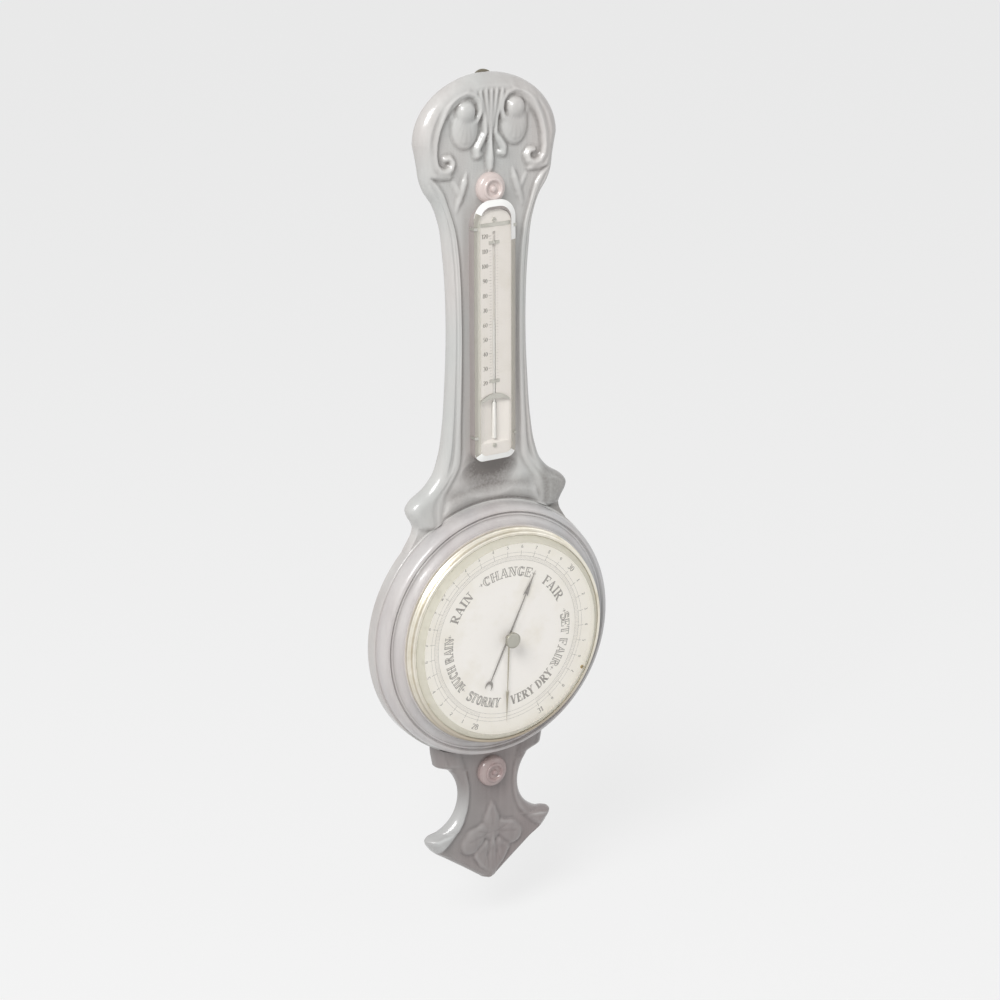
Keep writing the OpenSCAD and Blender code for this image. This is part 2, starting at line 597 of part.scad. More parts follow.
// Bent clips that hold the glass on the box
module glass_clips() {
  lean = (box_glass_z - bevel_edge_z) / bevel_w;
  x0 = box_w + 0.05;
  bend_z = bevel_edge_z + 0.1;
  tip = 2.6;
  color(brass) on_case() for (s = [-1, 1]) for (v = [192, 385])
    translate([0, v + 1.2, 0]) rotate([90, 0, 0]) linear_extrude(2.4) polygon([for (p = [
      [x0, 14], [x0 + 0.7, 14], [x0 + 0.7, bend_z + 0.5], [x0 - tip, bend_z + 0.7 + lean * tip],
      [x0 - tip, bend_z + lean * tip], [x0, bend_z]]) [s * p[0], p[1]]]);
}

// Brass bezel: skirt pushed over the dial seat, two rounded ridges, lip over the glass
glass_r = 101.2;
glass_back_z = 42;
glass_edge_t = 0.85;
glass_bevel_r = 100.3;
lip_z = 42.9;
module bezel() {
  skirt = [for (a = [0 : 15 : 90]) [bezel_r - 1.6 + 1.6 * cos(a), seat_z + 2.2 + 1.6 * sin(a)]];
  ridge = [for (a = [-20 : 20 : 120]) [102.3 + 1.3 * cos(a), 42.2 + 1.3 * sin(a)]];
  color(brass) on_case() rotate_extrude() polygon(concat(
    [[dial_seat_r + 0.2, seat_z], [bezel_r, seat_z]], skirt, [[103.2, 38.4]], ridge,
    [[100.5, 43.3], [100.5, lip_z], [101.5, lip_z], [101.5, glass_back_z], [102.1, glass_back_z],
      [102.1, glass_back_z - 0.9], [101.5, glass_back_z - 0.9], [101.5, 39.4], [dial_seat_r + 0.2, 39.4]]));
}
module dial_glass() {
  color(glass_tint) on_case() difference() {
    rotate_extrude() polygon([[0, glass_back_z], [glass_r, glass_back_z], [glass_r, glass_back_z + glass_edge_t],
      [glass_bevel_r, glass_back_z + glass_edge_t], [glass_flat_r, glass_z], [0, glass_z]]);
    translate([0, 0, glass_back_z - 1]) cylinder(r = 1.5 + run, h = 10);
  }
}
module glass_ring() {
  color(brass) on_case() translate([0, 0, glass_back_z - 0.85]) difference() {
    cylinder(r = 102, h = 0.8);
    translate([0, 0, -1]) cylinder(r = 99.2, h = 3);
    translate([-1.5, -110, -1]) cube([3, 20, 3]);
  }
}
module dial_plate() {
  color(cream) on_case() translate([0, 0, dial_seat_z]) difference() {
    cylinder(r = dial_r, h = 1);
    translate([0, 0, -1]) cylinder(r = 2.6, h = 3);
    ring_of(3, 97, 90) translate([0, 0, 1]) mirror([0, 0, 1]) sunk_hole(1.9, 1, 2);
  }
}
module dial_screws() {
  color(brass) on_case() translate([0, 0, dial_z]) mirror([0, 0, 1]) ring_of(3, 97, 90) sunk_screw(1.9, 1, 8);
}

// Hands: long arrow, round hub, crescent tail on the indicating hand
hand_tip = 84;
barb_r = 54;
module arrow(half_w) {
  polygon([[-0.9, 0], [-0.8, barb_r + 1.5], [-half_w, barb_r - 2], [-half_w * 0.62, barb_r + 6], [-0.7, hand_tip - 9],
    [0, hand_tip], [0.7, hand_tip - 9], [half_w * 0.62, barb_r + 6], [half_w, barb_r - 2], [0.8, barb_r + 1.5], [0.9, 0]]);
}
module indicating_hand() {
  color(blued) on_case() rotate([0, 0, -reading_deg]) difference() {
    union() {
      translate([0, 0, 39.9]) linear_extrude(0.4) union() {
        arrow(5.2);
        translate([-0.9, -43]) square([1.8, 43]);
        difference() {
          translate([0, -50]) circle(r = 8);
          translate([0, -53]) circle(r = 6.6);
        }
      }
      translate([0, 0, 39.6]) cylinder(r = 3, h = 0.9);
    }
    translate([0, 0, 39]) cylinder(r = 0.7, h = 3);
  }
}
module hand_arbor() {
  color(steel) on_case() union() {
    translate([0, 0, low_bar_z]) cylinder(r = 0.5, h = bar_t + 0.3);
    translate([0, 0, low_bar_z + bar_t + 0.2]) cylinder(r = 1, h = top_bar_z - low_bar_z - bar_t - 0.4);
    translate([0, 0, top_bar_z - 0.3]) cylinder(r = 0.7, h = 40.2 - top_bar_z + 0.3);
    for (z = [chain_z - 1.3, chain_z + 0.9]) translate([0, 0, z]) cylinder(r = 2.1, h = 0.4);
    translate([0, 0, 28.9]) cylinder(r = 1.5, h = 1);
  }
}
module set_hand() {
  color(brass) on_case() rotate([0, 0, -set_deg]) difference() {
    union() {
      translate([0, 0, 41]) linear_extrude(0.4) arrow(4.6);
      translate([0, 0, 40.9]) cylinder(r = 3.2, h = 0.7);
    }
    translate([0, 0, 40]) cylinder(r = 1.1, h = 3);
  }
}
module set_hand_spindle() {
  color(brass) on_case() union() {
    translate([0, 0, 40.8]) cylinder(r = 1.1, h = 1);
    translate([0, 0, 41.8]) cylinder(r = 1.5, h = glass_z - 41.8 + 0.2);
    translate([0, 0, glass_z]) cylinder(r = 1.1, h = 3);
  }
}
// Turned knob with a hollowed neck and a milled rim
module set_hand_knob() {
  rim_r = 7.2;
  color(brass) on_case() translate([0, 0, glass_z + 0.25]) difference() {
    union() {
      rotate_extrude() polygon(concat([[0, 0], [4.4, 0], [4.4, 0.6], [3.2, 1.2], [3.4, 1.8], [rim_r - 0.4, 2.2], [rim_r, 2.6]],
        [for (a = [0 : 15 : 75]) [rim_r * cos(a), 3.2 + 1.2 * sin(a)]], [[0, 4.4]]));
    }
    translate([0, 0, -1]) cylinder(r = 1.1, h = 3.8);
    ring_of(24, rim_r + 0.1) translate([0, 0, 2]) cylinder(r = 0.3, h = 3, $fn = 16);
  }
}
module set_hand_washer() {
  color(steel) on_case() translate([0, 0, 41.62]) difference() {
    cylinder(r = 3.6, h = 0.3);
    translate([0, 0, -1]) cylinder(r = 1.6, h = 3);
  }
}

// Places of the base plate's screws, beside the bridge and the shaft
base_screw_r = 47;
module at_base_screws() {
  for (a = [25, 90, 270, 335]) rotate([0, 0, a]) translate([base_screw_r, 0, 0]) children();
}

// Brass can that holds the movement in the drum
can_r = 54;
module movement_can() {
  color(brass) on_case() difference() {
    union() {
      translate([0, 0, can_back_z]) cylinder(r = can_r, h = 33);
      translate([0, 0, flange_z]) cylinder(r = drum_bore_r - 0.5, h = 1.2);
    }
    translate([0, 0, plate_z]) cylinder(r = can_r - 1, h = 40);
    translate([adjust_x, 0, 0]) cylinder(r = 1.9, h = 10);
    ring_of(4, 61.5) translate([0, 0, 10]) cylinder(r = 1.3 + slip, h = 5);
    at_base_screws() translate([0, 0, 2]) cylinder(r = 1.2 + slip, h = 5);
  }
}
module can_screws() {
  color(steel) on_case() translate([0, 0, flange_z + 1.2]) ring_of(4, 61.5) cheese_screw(2.6, 1.2, 1.3, 7.5);
}
module base_plate() {
  color(brass) on_case() difference() {
    translate([0, 0, plate_z]) cylinder(r = 51, h = plate_top - plate_z);
    translate([adjust_x, 0, 0]) cylinder(r = 1.5 + run, h = 10);
    translate([0, 0, 0]) cylinder(r = 2 + slip, h = 10);
    at_base_screws() translate([0, 0, 2]) cylinder(r = 1.2 + slip, h = 6);
    for (s = [-1, 1]) translate([10, s * 33, 2]) cylinder(r = 1.1 + slip, h = 8);
    for (s = [-1, 1]) translate([0, s * pillar_y, 2]) cylinder(r = 1.2 + slip, h = 8);
    for (s = [-1, 1]) translate([shaft_x, s * bracket_screw_y, 2]) cylinder(r = 0.8 + slip, h = 8);
  }
}
module base_screws() {
  color(steel) on_case() translate([0, 0, plate_top]) at_base_screws() cheese_screw(2.2, 1, 1.2, 2.9);
}

// Vacuum capsule: two corrugated diaphragms joined at the rim, on a foot with a stud
waves = 4;
wave_h = 0.55;
function wave(r) = wave_h * cos(360 * waves * (r - 8) / (capsule_r - 10));
module capsule_body() {
  rings = [for (i = [0 : 32]) 6 + (capsule_r - 8) * i / 32];
  color(brass) on_case() difference() {
    union() {
      rotate_extrude() polygon(concat(
        [[0, capsule_z + 0.8]], [for (r = rings) [r, capsule_z + 0.8 + 0.55 + wave(r)]],
        [[capsule_r - 1, capsule_z + 2.6], [capsule_r, capsule_z + 2.9], [capsule_r, capsule_top - 2.4], [capsule_r - 1, capsule_top - 2.1]],
        [for (i = [len(rings) - 1 : -1 : 0]) [rings[i], capsule_top - 0.55 - 0.1 + wave(rings[i])]],
        [[4.5, capsule_top], [0, capsule_top]]));
      translate([0, 0, plate_top]) cylinder(r = 5, h = 3);
      translate([0, 0, plate_z + 0.2]) cylinder(r = 2, h = 3);
    }
    translate([0, 0, capsule_top - 4]) cylinder(r = 2 + run, h = 6);
  }
}
pin_z = spring_top + 0.62;
module capsule_post() {
  color(steel) on_case() difference() {
    translate([0, 0, capsule_top - 3]) cylinder(r = 2, h = pin_z + 1.2 - capsule_top + 3);
    translate([0, 10, pin_z]) rotate([90, 0, 0]) cylinder(r = 0.6, h = 20);
  }
}
module capsule_pin() {
  color(steel) on_case() translate([0, 5, pin_z]) rotate([90, 0, 0]) cylinder(r = 0.6, h = 10);
}

// Iron bridge that straddles the capsule and carries the mainspring
rail_in = 30.5;
rail_out = 35.5;
module main_bridge() {
  color(blued) on_case() difference() {
    union() {
      translate([0, 0, bridge_z]) linear_extrude(bridge_t) difference() {
        polygon([[-46, -15], [-34, -rail_out], [14, -rail_out], [14, rail_out], [-34, rail_out], [-46, 15]]);
        polygon([[-31, -12], [-16, -rail_in], [20, -rail_in], [20, rail_in], [-16, rail_in], [-31, 12]]);
      }
      for (s = [-1, 1]) translate([10, s * 33, plate_top]) cylinder(r = 2.4, h = 1);
    }
    for (s = [-1, 1]) translate([10, s * 33, 0]) cylinder(r = 1.1 + slip, h = 20);
  }
}
module bridge_pivot_screws() {
  color(steel) on_case() for (s = [-1, 1]) translate([10, s * 33, bridge_z + bridge_t]) cheese_screw(2, 1, 1.1, 5.4);
}
module adjusting_screw() {
  color(brass) on_case() difference() {
    union() {
      translate([adjust_x, 0, 1]) cylinder(r = 2.8, h = 1.9);
      translate([adjust_x, 0, 2]) cylinder(r = 1.5, h = bridge_z - 0.1 - 2);
    }
    translate([adjust_x - 4, -0.4, 0.9]) cube([8, 0.8, 0.9]);
  }
}

// Bowed mainspring: a C seen from the side, tapered from the bend to its free end
module mainspring() {
  color(steel) on_case() difference() {
    intersection() {
      translate([0, 14, 0]) rotate([90, 0, 0]) linear_extrude(28) union() {
        difference() {
          translate([spring_x, spring_z]) circle(r = spring_in + spring_t);
          translate([spring_x, spring_z]) circle(r = spring_in);
          translate([spring_x, spring_z - 10]) square([20, 20]);
        }
        translate([spring_x, spring_z - spring_in - spring_t]) square([9, spring_t]);
        translate([spring_x, spring_z + spring_in]) square([-spring_x + 5, spring_t]);
      }
      linear_extrude(40) polygon([[-50, -12], [-30, -12], [5, -5.5], [5, 5.5], [-30, 12], [-50, 12]]);
    }
    translate([0, 0, spring_z]) cylinder(r = 2.6, h = 10);
    for (s = [-1, 1]) translate([-13, s * 3, spring_z]) cylinder(r = 0.8 + slip, h = 10);
  }
}
// Main lever, screwed on the mainspring and forked round the post, tapering to the link's eye
lever_z = spring_top;
module main_lever() {
  color(brass) on_case() difference() {
    translate([0, 0, lever_z]) linear_extrude(lever_t) union() {
      polygon([[-18, -6.5], [-8, -7.5], [4, -7.5], [crank_x, crank_y - 1.6], [crank_x, crank_y + 1.6], [4, 7.5], [-8, 7.5], [-18, 6.5]]);
      translate([crank_x, crank_y]) circle(r = 1.6);
    }
    translate([-3, -5.8, lever_z - 1]) cube([6, 11.6, 4]);
    for (s = [-1, 1]) translate([-13, s * 3, lever_z - 1]) cylinder(r = 0.8 + slip, h = 4);
    translate([crank_x - 1.4, crank_y - 0.45, lever_z - 1]) cube([5, 0.9, 4]);
    translate([crank_x, crank_y + 2, lever_z + lever_t / 2]) rotate([90, 0, 0]) cylinder(r = link_pin_r + run, h = 4);
  }
}
module lever_screws() {
  color(steel) on_case() for (s = [-1, 1]) translate([-13, s * 3, lever_z + lever_t]) cheese_screw(1.5, 0.7, 0.8, 2.2);
}
// Flat link: an eye round the crank's pin below, its own pin in the lever's fork above
link_pin_r = 0.3;
link_t = 0.7;
crank_pin_r = 0.4;
module across(x, y, z, r, length) {
  translate([x, y + length / 2, z]) rotate([90, 0, 0]) cylinder(r = r, h = length);
}
module connecting_link() {
  high = lever_z + lever_t / 2;
  color(steel) on_case() difference() {
    union() {
      across(crank_x, crank_y, shaft_z, 1.2, link_t);
      across(crank_x, crank_y, high, 0.8, link_t);
      across(crank_x, crank_y, high, link_pin_r, 3);
      translate([crank_x - 0.4, crank_y - link_t / 2, shaft_z + 1]) cube([0.8, link_t, high - shaft_z - 1]);
    }
    across(crank_x, crank_y, shaft_z, crank_pin_r + 0.25, link_t + 1);
  }
}

// Rocking shaft with its crank, the crank's pin and the upright arm that pulls the chain
pivot_r = 0.8;
bracket_y = 13;
arm_y = -chain_r;
module rocking_shaft() {
  crank_side = crank_y + link_t / 2 + 0.2;
  color(steel) on_case() union() {
    across(shaft_x, 0, shaft_z, 1.3, 22.6);
    across(shaft_x, 0, shaft_z, pivot_r, 2 * bracket_y + 2.6);
    translate([crank_x - 0.7, crank_side, shaft_z - 0.8]) cube([crank_l + 0.7, 1.1, 1.6]);
    across(crank_x, crank_y, shaft_z, crank_pin_r, 2.4);
    translate([0, arm_y + 0.5, 0]) rotate([90, 0, 0]) linear_extrude(1)
      polygon([[shaft_x - 1.6, shaft_z], [shaft_x - 0.7, chain_z + 0.6], [shaft_x + 0.7, chain_z + 0.6], [shaft_x + 1.6, shaft_z]]);
    across(shaft_x, arm_y, shaft_z, 2.2, 2.4);
    across(shaft_x, crank_side + 0.8, shaft_z, 1.9, 1.6);
  }
}
module shaft_brackets() {
  color(brass) on_case() for (s = [-1, 1]) difference() {
    union() {
      translate([shaft_x - 2.2, s * bracket_y - 1, plate_top]) cube([4.4, 2, shaft_z - plate_top]);
      across(shaft_x, s * bracket_y, shaft_z, 2.2, 2);
      translate([shaft_x - 2.2, s > 0 ? bracket_y - 1 : -bracket_y - 4, plate_top]) cube([4.4, 5, 1]);
    }
    across(shaft_x, s * bracket_y, shaft_z, pivot_r + run, 4);
    translate([shaft_x, s * bracket_screw_y, plate_top - 1]) cylinder(r = 0.8 + slip, h = 4);
  }
}
module bracket_screws() {
  color(steel) on_case() for (s = [-1, 1]) translate([shaft_x, s * bracket_screw_y, plate_top + 1]) cheese_screw(1.4, 0.7, 0.8, 2.8);
}

// Chain: flat links, wide and narrow in turn, joined by pins
chain_links = 16;
chain_end = shaft_x - 1.25;
module chain() {
  pitch = chain_end / chain_links;
  color(steel) on_case() union() {
    for (i = [0 : chain_links - 1]) translate([i * pitch, -chain_r - (i % 2 == 0 ? 0.35 : 0.17), chain_z - (i % 2 == 0 ? 0.55 : 0.4)])
      cube([pitch + (i == chain_links - 1 ? 0 : 0.5), i % 2 == 0 ? 0.7 : 0.34, i % 2 == 0 ? 1.1 : 0.8]);
  }
}

// Bars that hold the hand arbor, on two pillars
bar_w = 10;
bar_end = pillar_y + 3.5;
module arbor_bar(z, t, pivot) {
  translate([0, 0, z]) difference() {
    union() {
      translate([-bar_w / 2, -bar_end + bar_w / 2, 0]) cube([bar_w, 2 * bar_end - bar_w, t]);
      for (s = [-1, 1]) translate([0, s * (bar_end - bar_w / 2), 0]) cylinder(r = bar_w / 2, h = t);
    }
    translate([0, 0, -1]) cylinder(r = pivot + run, h = t + 2);
    for (s = [-1, 1]) translate([0, s * pillar_y, -1]) cylinder(r = 1.2 + slip, h = t + 2);
  }
}
module lower_arbor_bar() {
  color(brass) on_case() arbor_bar(low_bar_z, bar_t, 0.5);
}
module arbor_bridge() {
  color(brass) on_case() difference() {
    arbor_bar(top_bar_z, top_bar_t, 0.7);
    translate([0, stud_y, top_bar_z - 1]) cylinder(r = 0.8 + slip, h = 4);
  }
}
module bridge_pillars() {
  color(brass) on_case() for (s = [-1, 1]) translate([0, s * pillar_y, 0]) difference() {
    union() {
      translate([0, 0, plate_top]) cylinder(r = 2.6, h = low_bar_z - plate_top);
      translate([0, 0, low_bar_z + bar_t]) cylinder(r = 2.3, h = top_bar_z - low_bar_z - bar_t);
    }
    translate([0, 0, plate_top - 1]) cylinder(r = 1.2 + slip, h = 40);
  }
}
module bridge_screws() {
  color(steel) on_case() for (s = [-1, 1]) translate([0, s * pillar_y, top_bar_z + top_bar_t])
    cheese_screw(2.4, 1.1, 1.2, top_bar_z + top_bar_t - plate_z - 0.2);
}

// Hairspring: flat spiral from the collet of the arbor to its stud
coils = 4;
spring_in_r = 1.75;
spring_out_r = 7.6;
spring_w = 0.22;
stud_y = 8.9;
hairspring_z = 29.2;
module hairspring() {
  function at(u, w) = let (r = spring_in_r + (spring_out_r - spring_in_r) * u + w, a = 90 + 360 * coils * u) [r * cos(a), r * sin(a)];
  steps = coils * 20;
  color(blued) on_case() translate([0, 0, hairspring_z]) linear_extrude(0.5) polygon(concat(
    [for (i = [0 : steps]) at(i / steps, 0)],
    [[-spring_w, spring_out_r], [-spring_w, stud_y - 0.3], [0, stud_y - 0.3]],
    [for (i = [steps : -1 : 0]) at(i / steps, spring_w)]));
}
module hairspring_stud() {
  color(brass) on_case() difference() {
    translate([0, stud_y, 28.9]) cylinder(r = 0.8, h = top_bar_z + top_bar_t - 28.9);
    translate([-spring_w - 0.04, stud_y - 1.2, hairspring_z - 0.04]) cube([spring_w + 0.08, 1, 0.58]);
  }
}

head_board();
neck_board();
round_body();
tail_board();
drum_ring();
drum_screws();
top_boss();
bottom_boss();
hanger_plate();
hanger_screws();
rear_cover();
rear_cover_screws();
thermometer_box();
box_screws();
thermometer_scale();
scale_screws();
thermometer_tube();
thermometer_liquid();
tube_clips();
bulb_guard();
thermometer_glass();
glass_clips();
bezel();
dial_glass();
glass_ring();
dial_plate();
dial_screws();
indicating_hand();
hand_arbor();
set_hand();
set_hand_spindle();
set_hand_knob();
set_hand_washer();
movement_can();
can_screws();
base_plate();
base_screws();
capsule_body();
capsule_post();
capsule_pin();
main_bridge();
bridge_pivot_screws();
adjusting_screw();
mainspring();
main_lever();
lever_screws();
connecting_link();
rocking_shaft();
shaft_brackets();
bracket_screws();
chain();
lower_arbor_bar();
arbor_bridge();
bridge_pillars();
bridge_screws();
hairspring();
hairspring_stud();
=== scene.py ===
"""Carved banjo barometer with its thermometer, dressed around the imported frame.

Lengths in the classes are millimetres in the case's own frame: x to the right, v up from the dial's
centre, z away from the wall. Meshes are metres in the shared frame, where the hanging hole is the origin,
+Z is up and the dial looks towards -Y.
"""

import logging
import math
from dataclasses import dataclass, field
from enum import Enum

import bmesh
import bpy
import numpy as np
from mathutils import Matrix, Vector


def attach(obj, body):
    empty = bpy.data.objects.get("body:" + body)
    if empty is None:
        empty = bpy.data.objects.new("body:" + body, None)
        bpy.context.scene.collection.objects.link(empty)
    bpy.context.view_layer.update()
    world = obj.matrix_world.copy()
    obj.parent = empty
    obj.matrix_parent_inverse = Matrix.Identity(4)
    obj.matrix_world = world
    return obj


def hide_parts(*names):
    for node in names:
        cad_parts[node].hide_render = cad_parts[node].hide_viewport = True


Array = np.ndarray
Material = bpy.types.Material
Node = bpy.types.Node
Piece = bpy.types.Object
Socket = bpy.types.NodeSocket

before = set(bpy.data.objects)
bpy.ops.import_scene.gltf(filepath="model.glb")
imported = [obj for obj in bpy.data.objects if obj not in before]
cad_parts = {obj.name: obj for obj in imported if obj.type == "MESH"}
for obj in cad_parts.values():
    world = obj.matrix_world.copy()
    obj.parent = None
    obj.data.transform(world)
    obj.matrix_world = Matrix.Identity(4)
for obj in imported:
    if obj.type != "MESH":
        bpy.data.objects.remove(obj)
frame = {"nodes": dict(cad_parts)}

LOG = logging.getLogger("barometer")
MM = 0.001
HANG_HEIGHT = 511.0
ROOT = "case"
INK_LOW, INK_HIGH, INK_STEP = 0.003, 0.045, 0.004


def to_frame(x: Array, v: Array, z: Array) -> Array:
    """Turns case coordinates in millimetres into points of the shared frame.

    Args:
        x: Distances to the right of the middle.
        v: Heights above the dial's centre.
        z: Distances from the wall.

    Returns:
        Points in metres, in one more axis.
    """
    x, v, z = np.broadcast_arrays(x, v, z)
    return np.stack([x, -z, v - HANG_HEIGHT], axis=-1) * MM


def mix(a: float, b: float, t: Array) -> Array:
    """Returns the straight blend of two values."""
    return a + (b - a) * t


def smooth(a: float, b: float, x: Array) -> Array:
    """Returns the smooth step of x from a to b."""
    t = np.clip((x - a) / (b - a), 0, 1)
    return t * t * (3 - 2 * t)


def dome(d: Array, r: float) -> Array:
    """Returns the height of a round top of radius r at distance d from its middle."""
    return np.sqrt(np.clip(1 - (np.asarray(d) / r) ** 2, 0, None))


def bell(x: Array, middle: float, width: float) -> Array:
    """Returns a bell of height 1 round a middle."""
    return np.exp(-(((x - middle) / width) ** 2))


def bowl(x: Array, v: Array, wide: float, middle: float, tall: float) -> Array:
    """Returns how deep points lie in an oval on the middle line, 1 at its middle and 0 outside."""
    return np.clip(1 - (x / wide) ** 2 - ((v - middle) / tall) ** 2, 0, None)


def rounded_edge(e: Array, width: Array, low: float, top: Array) -> Array:
    """Returns the level of a quarter round that rises from low to top over a width."""
    return low + (top - low) * np.sqrt(1 - (1 - np.minimum(1, e / width)) ** 2)


def stretch(x: Array, v: Array, a: tuple, b: tuple) -> tuple:
    """Returns how far points lie from the straight stretch between a and b, and where along it, 0 to 1."""
    dx, dv = b[0] - a[0], b[1] - a[1]
    t = np.clip(((x - a[0]) * dx + (v - a[1]) * dv) / (dx * dx + dv * dv), 0, 1)
    return np.hypot(x - a[0] - t * dx, v - a[1] - t * dv), t


def path_distance(x: Array, v: Array, *stretches: tuple) -> Array:
    """Returns the distance from the nearest of several straight stretches."""
    return np.minimum.reduce([stretch(x, v, a, b)[0] for a, b in stretches])


def ridge(x: Array, v: Array, path: tuple, base: float) -> Array:
    """Returns a rounded ridge along a path.

    Args:
        x: Distances from the middle plane.
        v: Heights above the dial's centre.
        path: Stations of x, v, half width and top level.
        base: Level from which the ridge rises.

    Returns:
        The ridge's height, 0 beside it.
    """
    best = np.zeros(np.broadcast(x, v).shape)
    for a, b in zip(path, path[1:]):
        d, t = stretch(x, v, a, b)
        r = mix(a[2], b[2], t)
        best = np.maximum(best, np.where(d < r, base + (mix(a[3], b[3], t) - base) * dome(d, r), 0))
    return best


def softened(z: Array, passes: int) -> Array:
    """Returns a grid of heights with its steps worn round."""
    weights = (1, 4, 6, 4, 1)
    for _ in range(passes):
        for axis in (0, 1):
            pad = [(2, 2) if k == axis else (0, 0) for k in (0, 1)]
            wide = np.pad(z, pad, mode="edge")
            cut = [slice(None), slice(None)]
            total = np.zeros_like(z)
            for k, weight in enumerate(weights):
                cut[axis] = slice(k, k + z.shape[axis])
                total = total + weight * wide[tuple(cut)]
            z = total / sum(weights)
    return z


class Curve:
    """Smooth curve through pairs of height and value that run downwards."""

    def __init__(self, stations: list) -> None:
        """Keeps the pairs of height and value, lowest first."""
        points = np.array(stations[::-1], float)
        self.v, self.w = points[:, 0], points[:, 1]
        rise = np.diff(self.w) / np.diff(self.v)
        gap = np.diff(self.v)
        inner = (gap[1:] * rise[:-1] + gap[:-1] * rise[1:]) / (gap[1:] + gap[:-1])
        self.slope = np.concatenate([rise[:1], inner, rise[-1:]])

    def __call__(self, v: Array) -> Array:
        """Returns the curve's values at heights v."""
        v = np.asarray(v, float)
        i = np.clip(np.searchsorted(self.v, v, side="left") - 1, 0, len(self.v) - 2)
        h = self.v[i + 1] - self.v[i]
        t = np.clip((v - self.v[i]) / h, 0, 1)
        t2, t3 = t * t, t * t * t
        ends = self.w[i] * (2 * t3 - 3 * t2 + 1) + self.w[i + 1] * (3 * t2 - 2 * t3)
        return ends + h * (self.slope[i] * (t3 - 2 * t2 + t) + self.slope[i + 1] * (t3 - t2))


@dataclass
class Relief:
    """What the two carved boards share: their join with the round body and their stippled ground.

    Attributes:
        edge_h: Height of the square part of the outline's edge.
        ground_z: Level of the sunk ground.
        join_w: Half width of the board where it meets the round body.
        bend_end: Distance from the dial's centre beyond which rows are straight.
        undercut: How far the back lies inside the outline.
        join_r: Radius of the round body that the board meets.
        apron_r, apron_z: Radius and level of the flat that runs round the drum.
    """

    edge_h: float
    ground_z: float
    join_w: float
    bend_end: float
    undercut: float
    join_r: float = 126.42
    apron_r: float = 129.0
    apron_z: float = 11.3

    @property
    def join_v(self) -> float:
        """Distance from the dial's centre at which the outline meets the round body."""
        return math.sqrt(self.join_r**2 - self.join_w**2)

    def bent(self, u: Array, x: Array, w: Array) -> Array:
        """Returns where points of rows lie, which bend to the round body up to the straight ones.

        Args:
            u: Distances of the rows' ends from the dial's centre.
            x: The points' x.
            w: Half widths of the rows.

        Returns:
            The points' distances, counted like u.
        """
        arc = np.sqrt(self.join_r**2 - (np.abs(x) / w * self.join_w) ** 2)
        bend = (arc - self.join_v) / (self.join_r - self.join_v)
        middle = mix(self.join_r, self.bend_end, (u - self.join_v) / (self.bend_end - self.join_v))
        return np.where(u > self.bend_end, u + 0 * x, u + (middle - u) * bend)

    def stipple(self, x: Array, v: Array) -> Array:
        """Returns the depth of the punched dots, laid out in staggered rows and struck unevenly."""
        pitch, spread, row_phase, column_phase = 1.5, 0.075, 12.9898, 78.233
        row = np.round(v / pitch)
        shift = np.where(row % 2 > 0, 0.5, 0.0)
        column = np.round(x / pitch - shift)
        du, dv = (x / pitch - shift) - column, v / pitch - row
        wobble = 0.75 + 0.25 * np.sin(row * row_phase + column * column_phase)
        return 0.4 * wobble * np.exp(-((du**2 + dv**2) / spread))


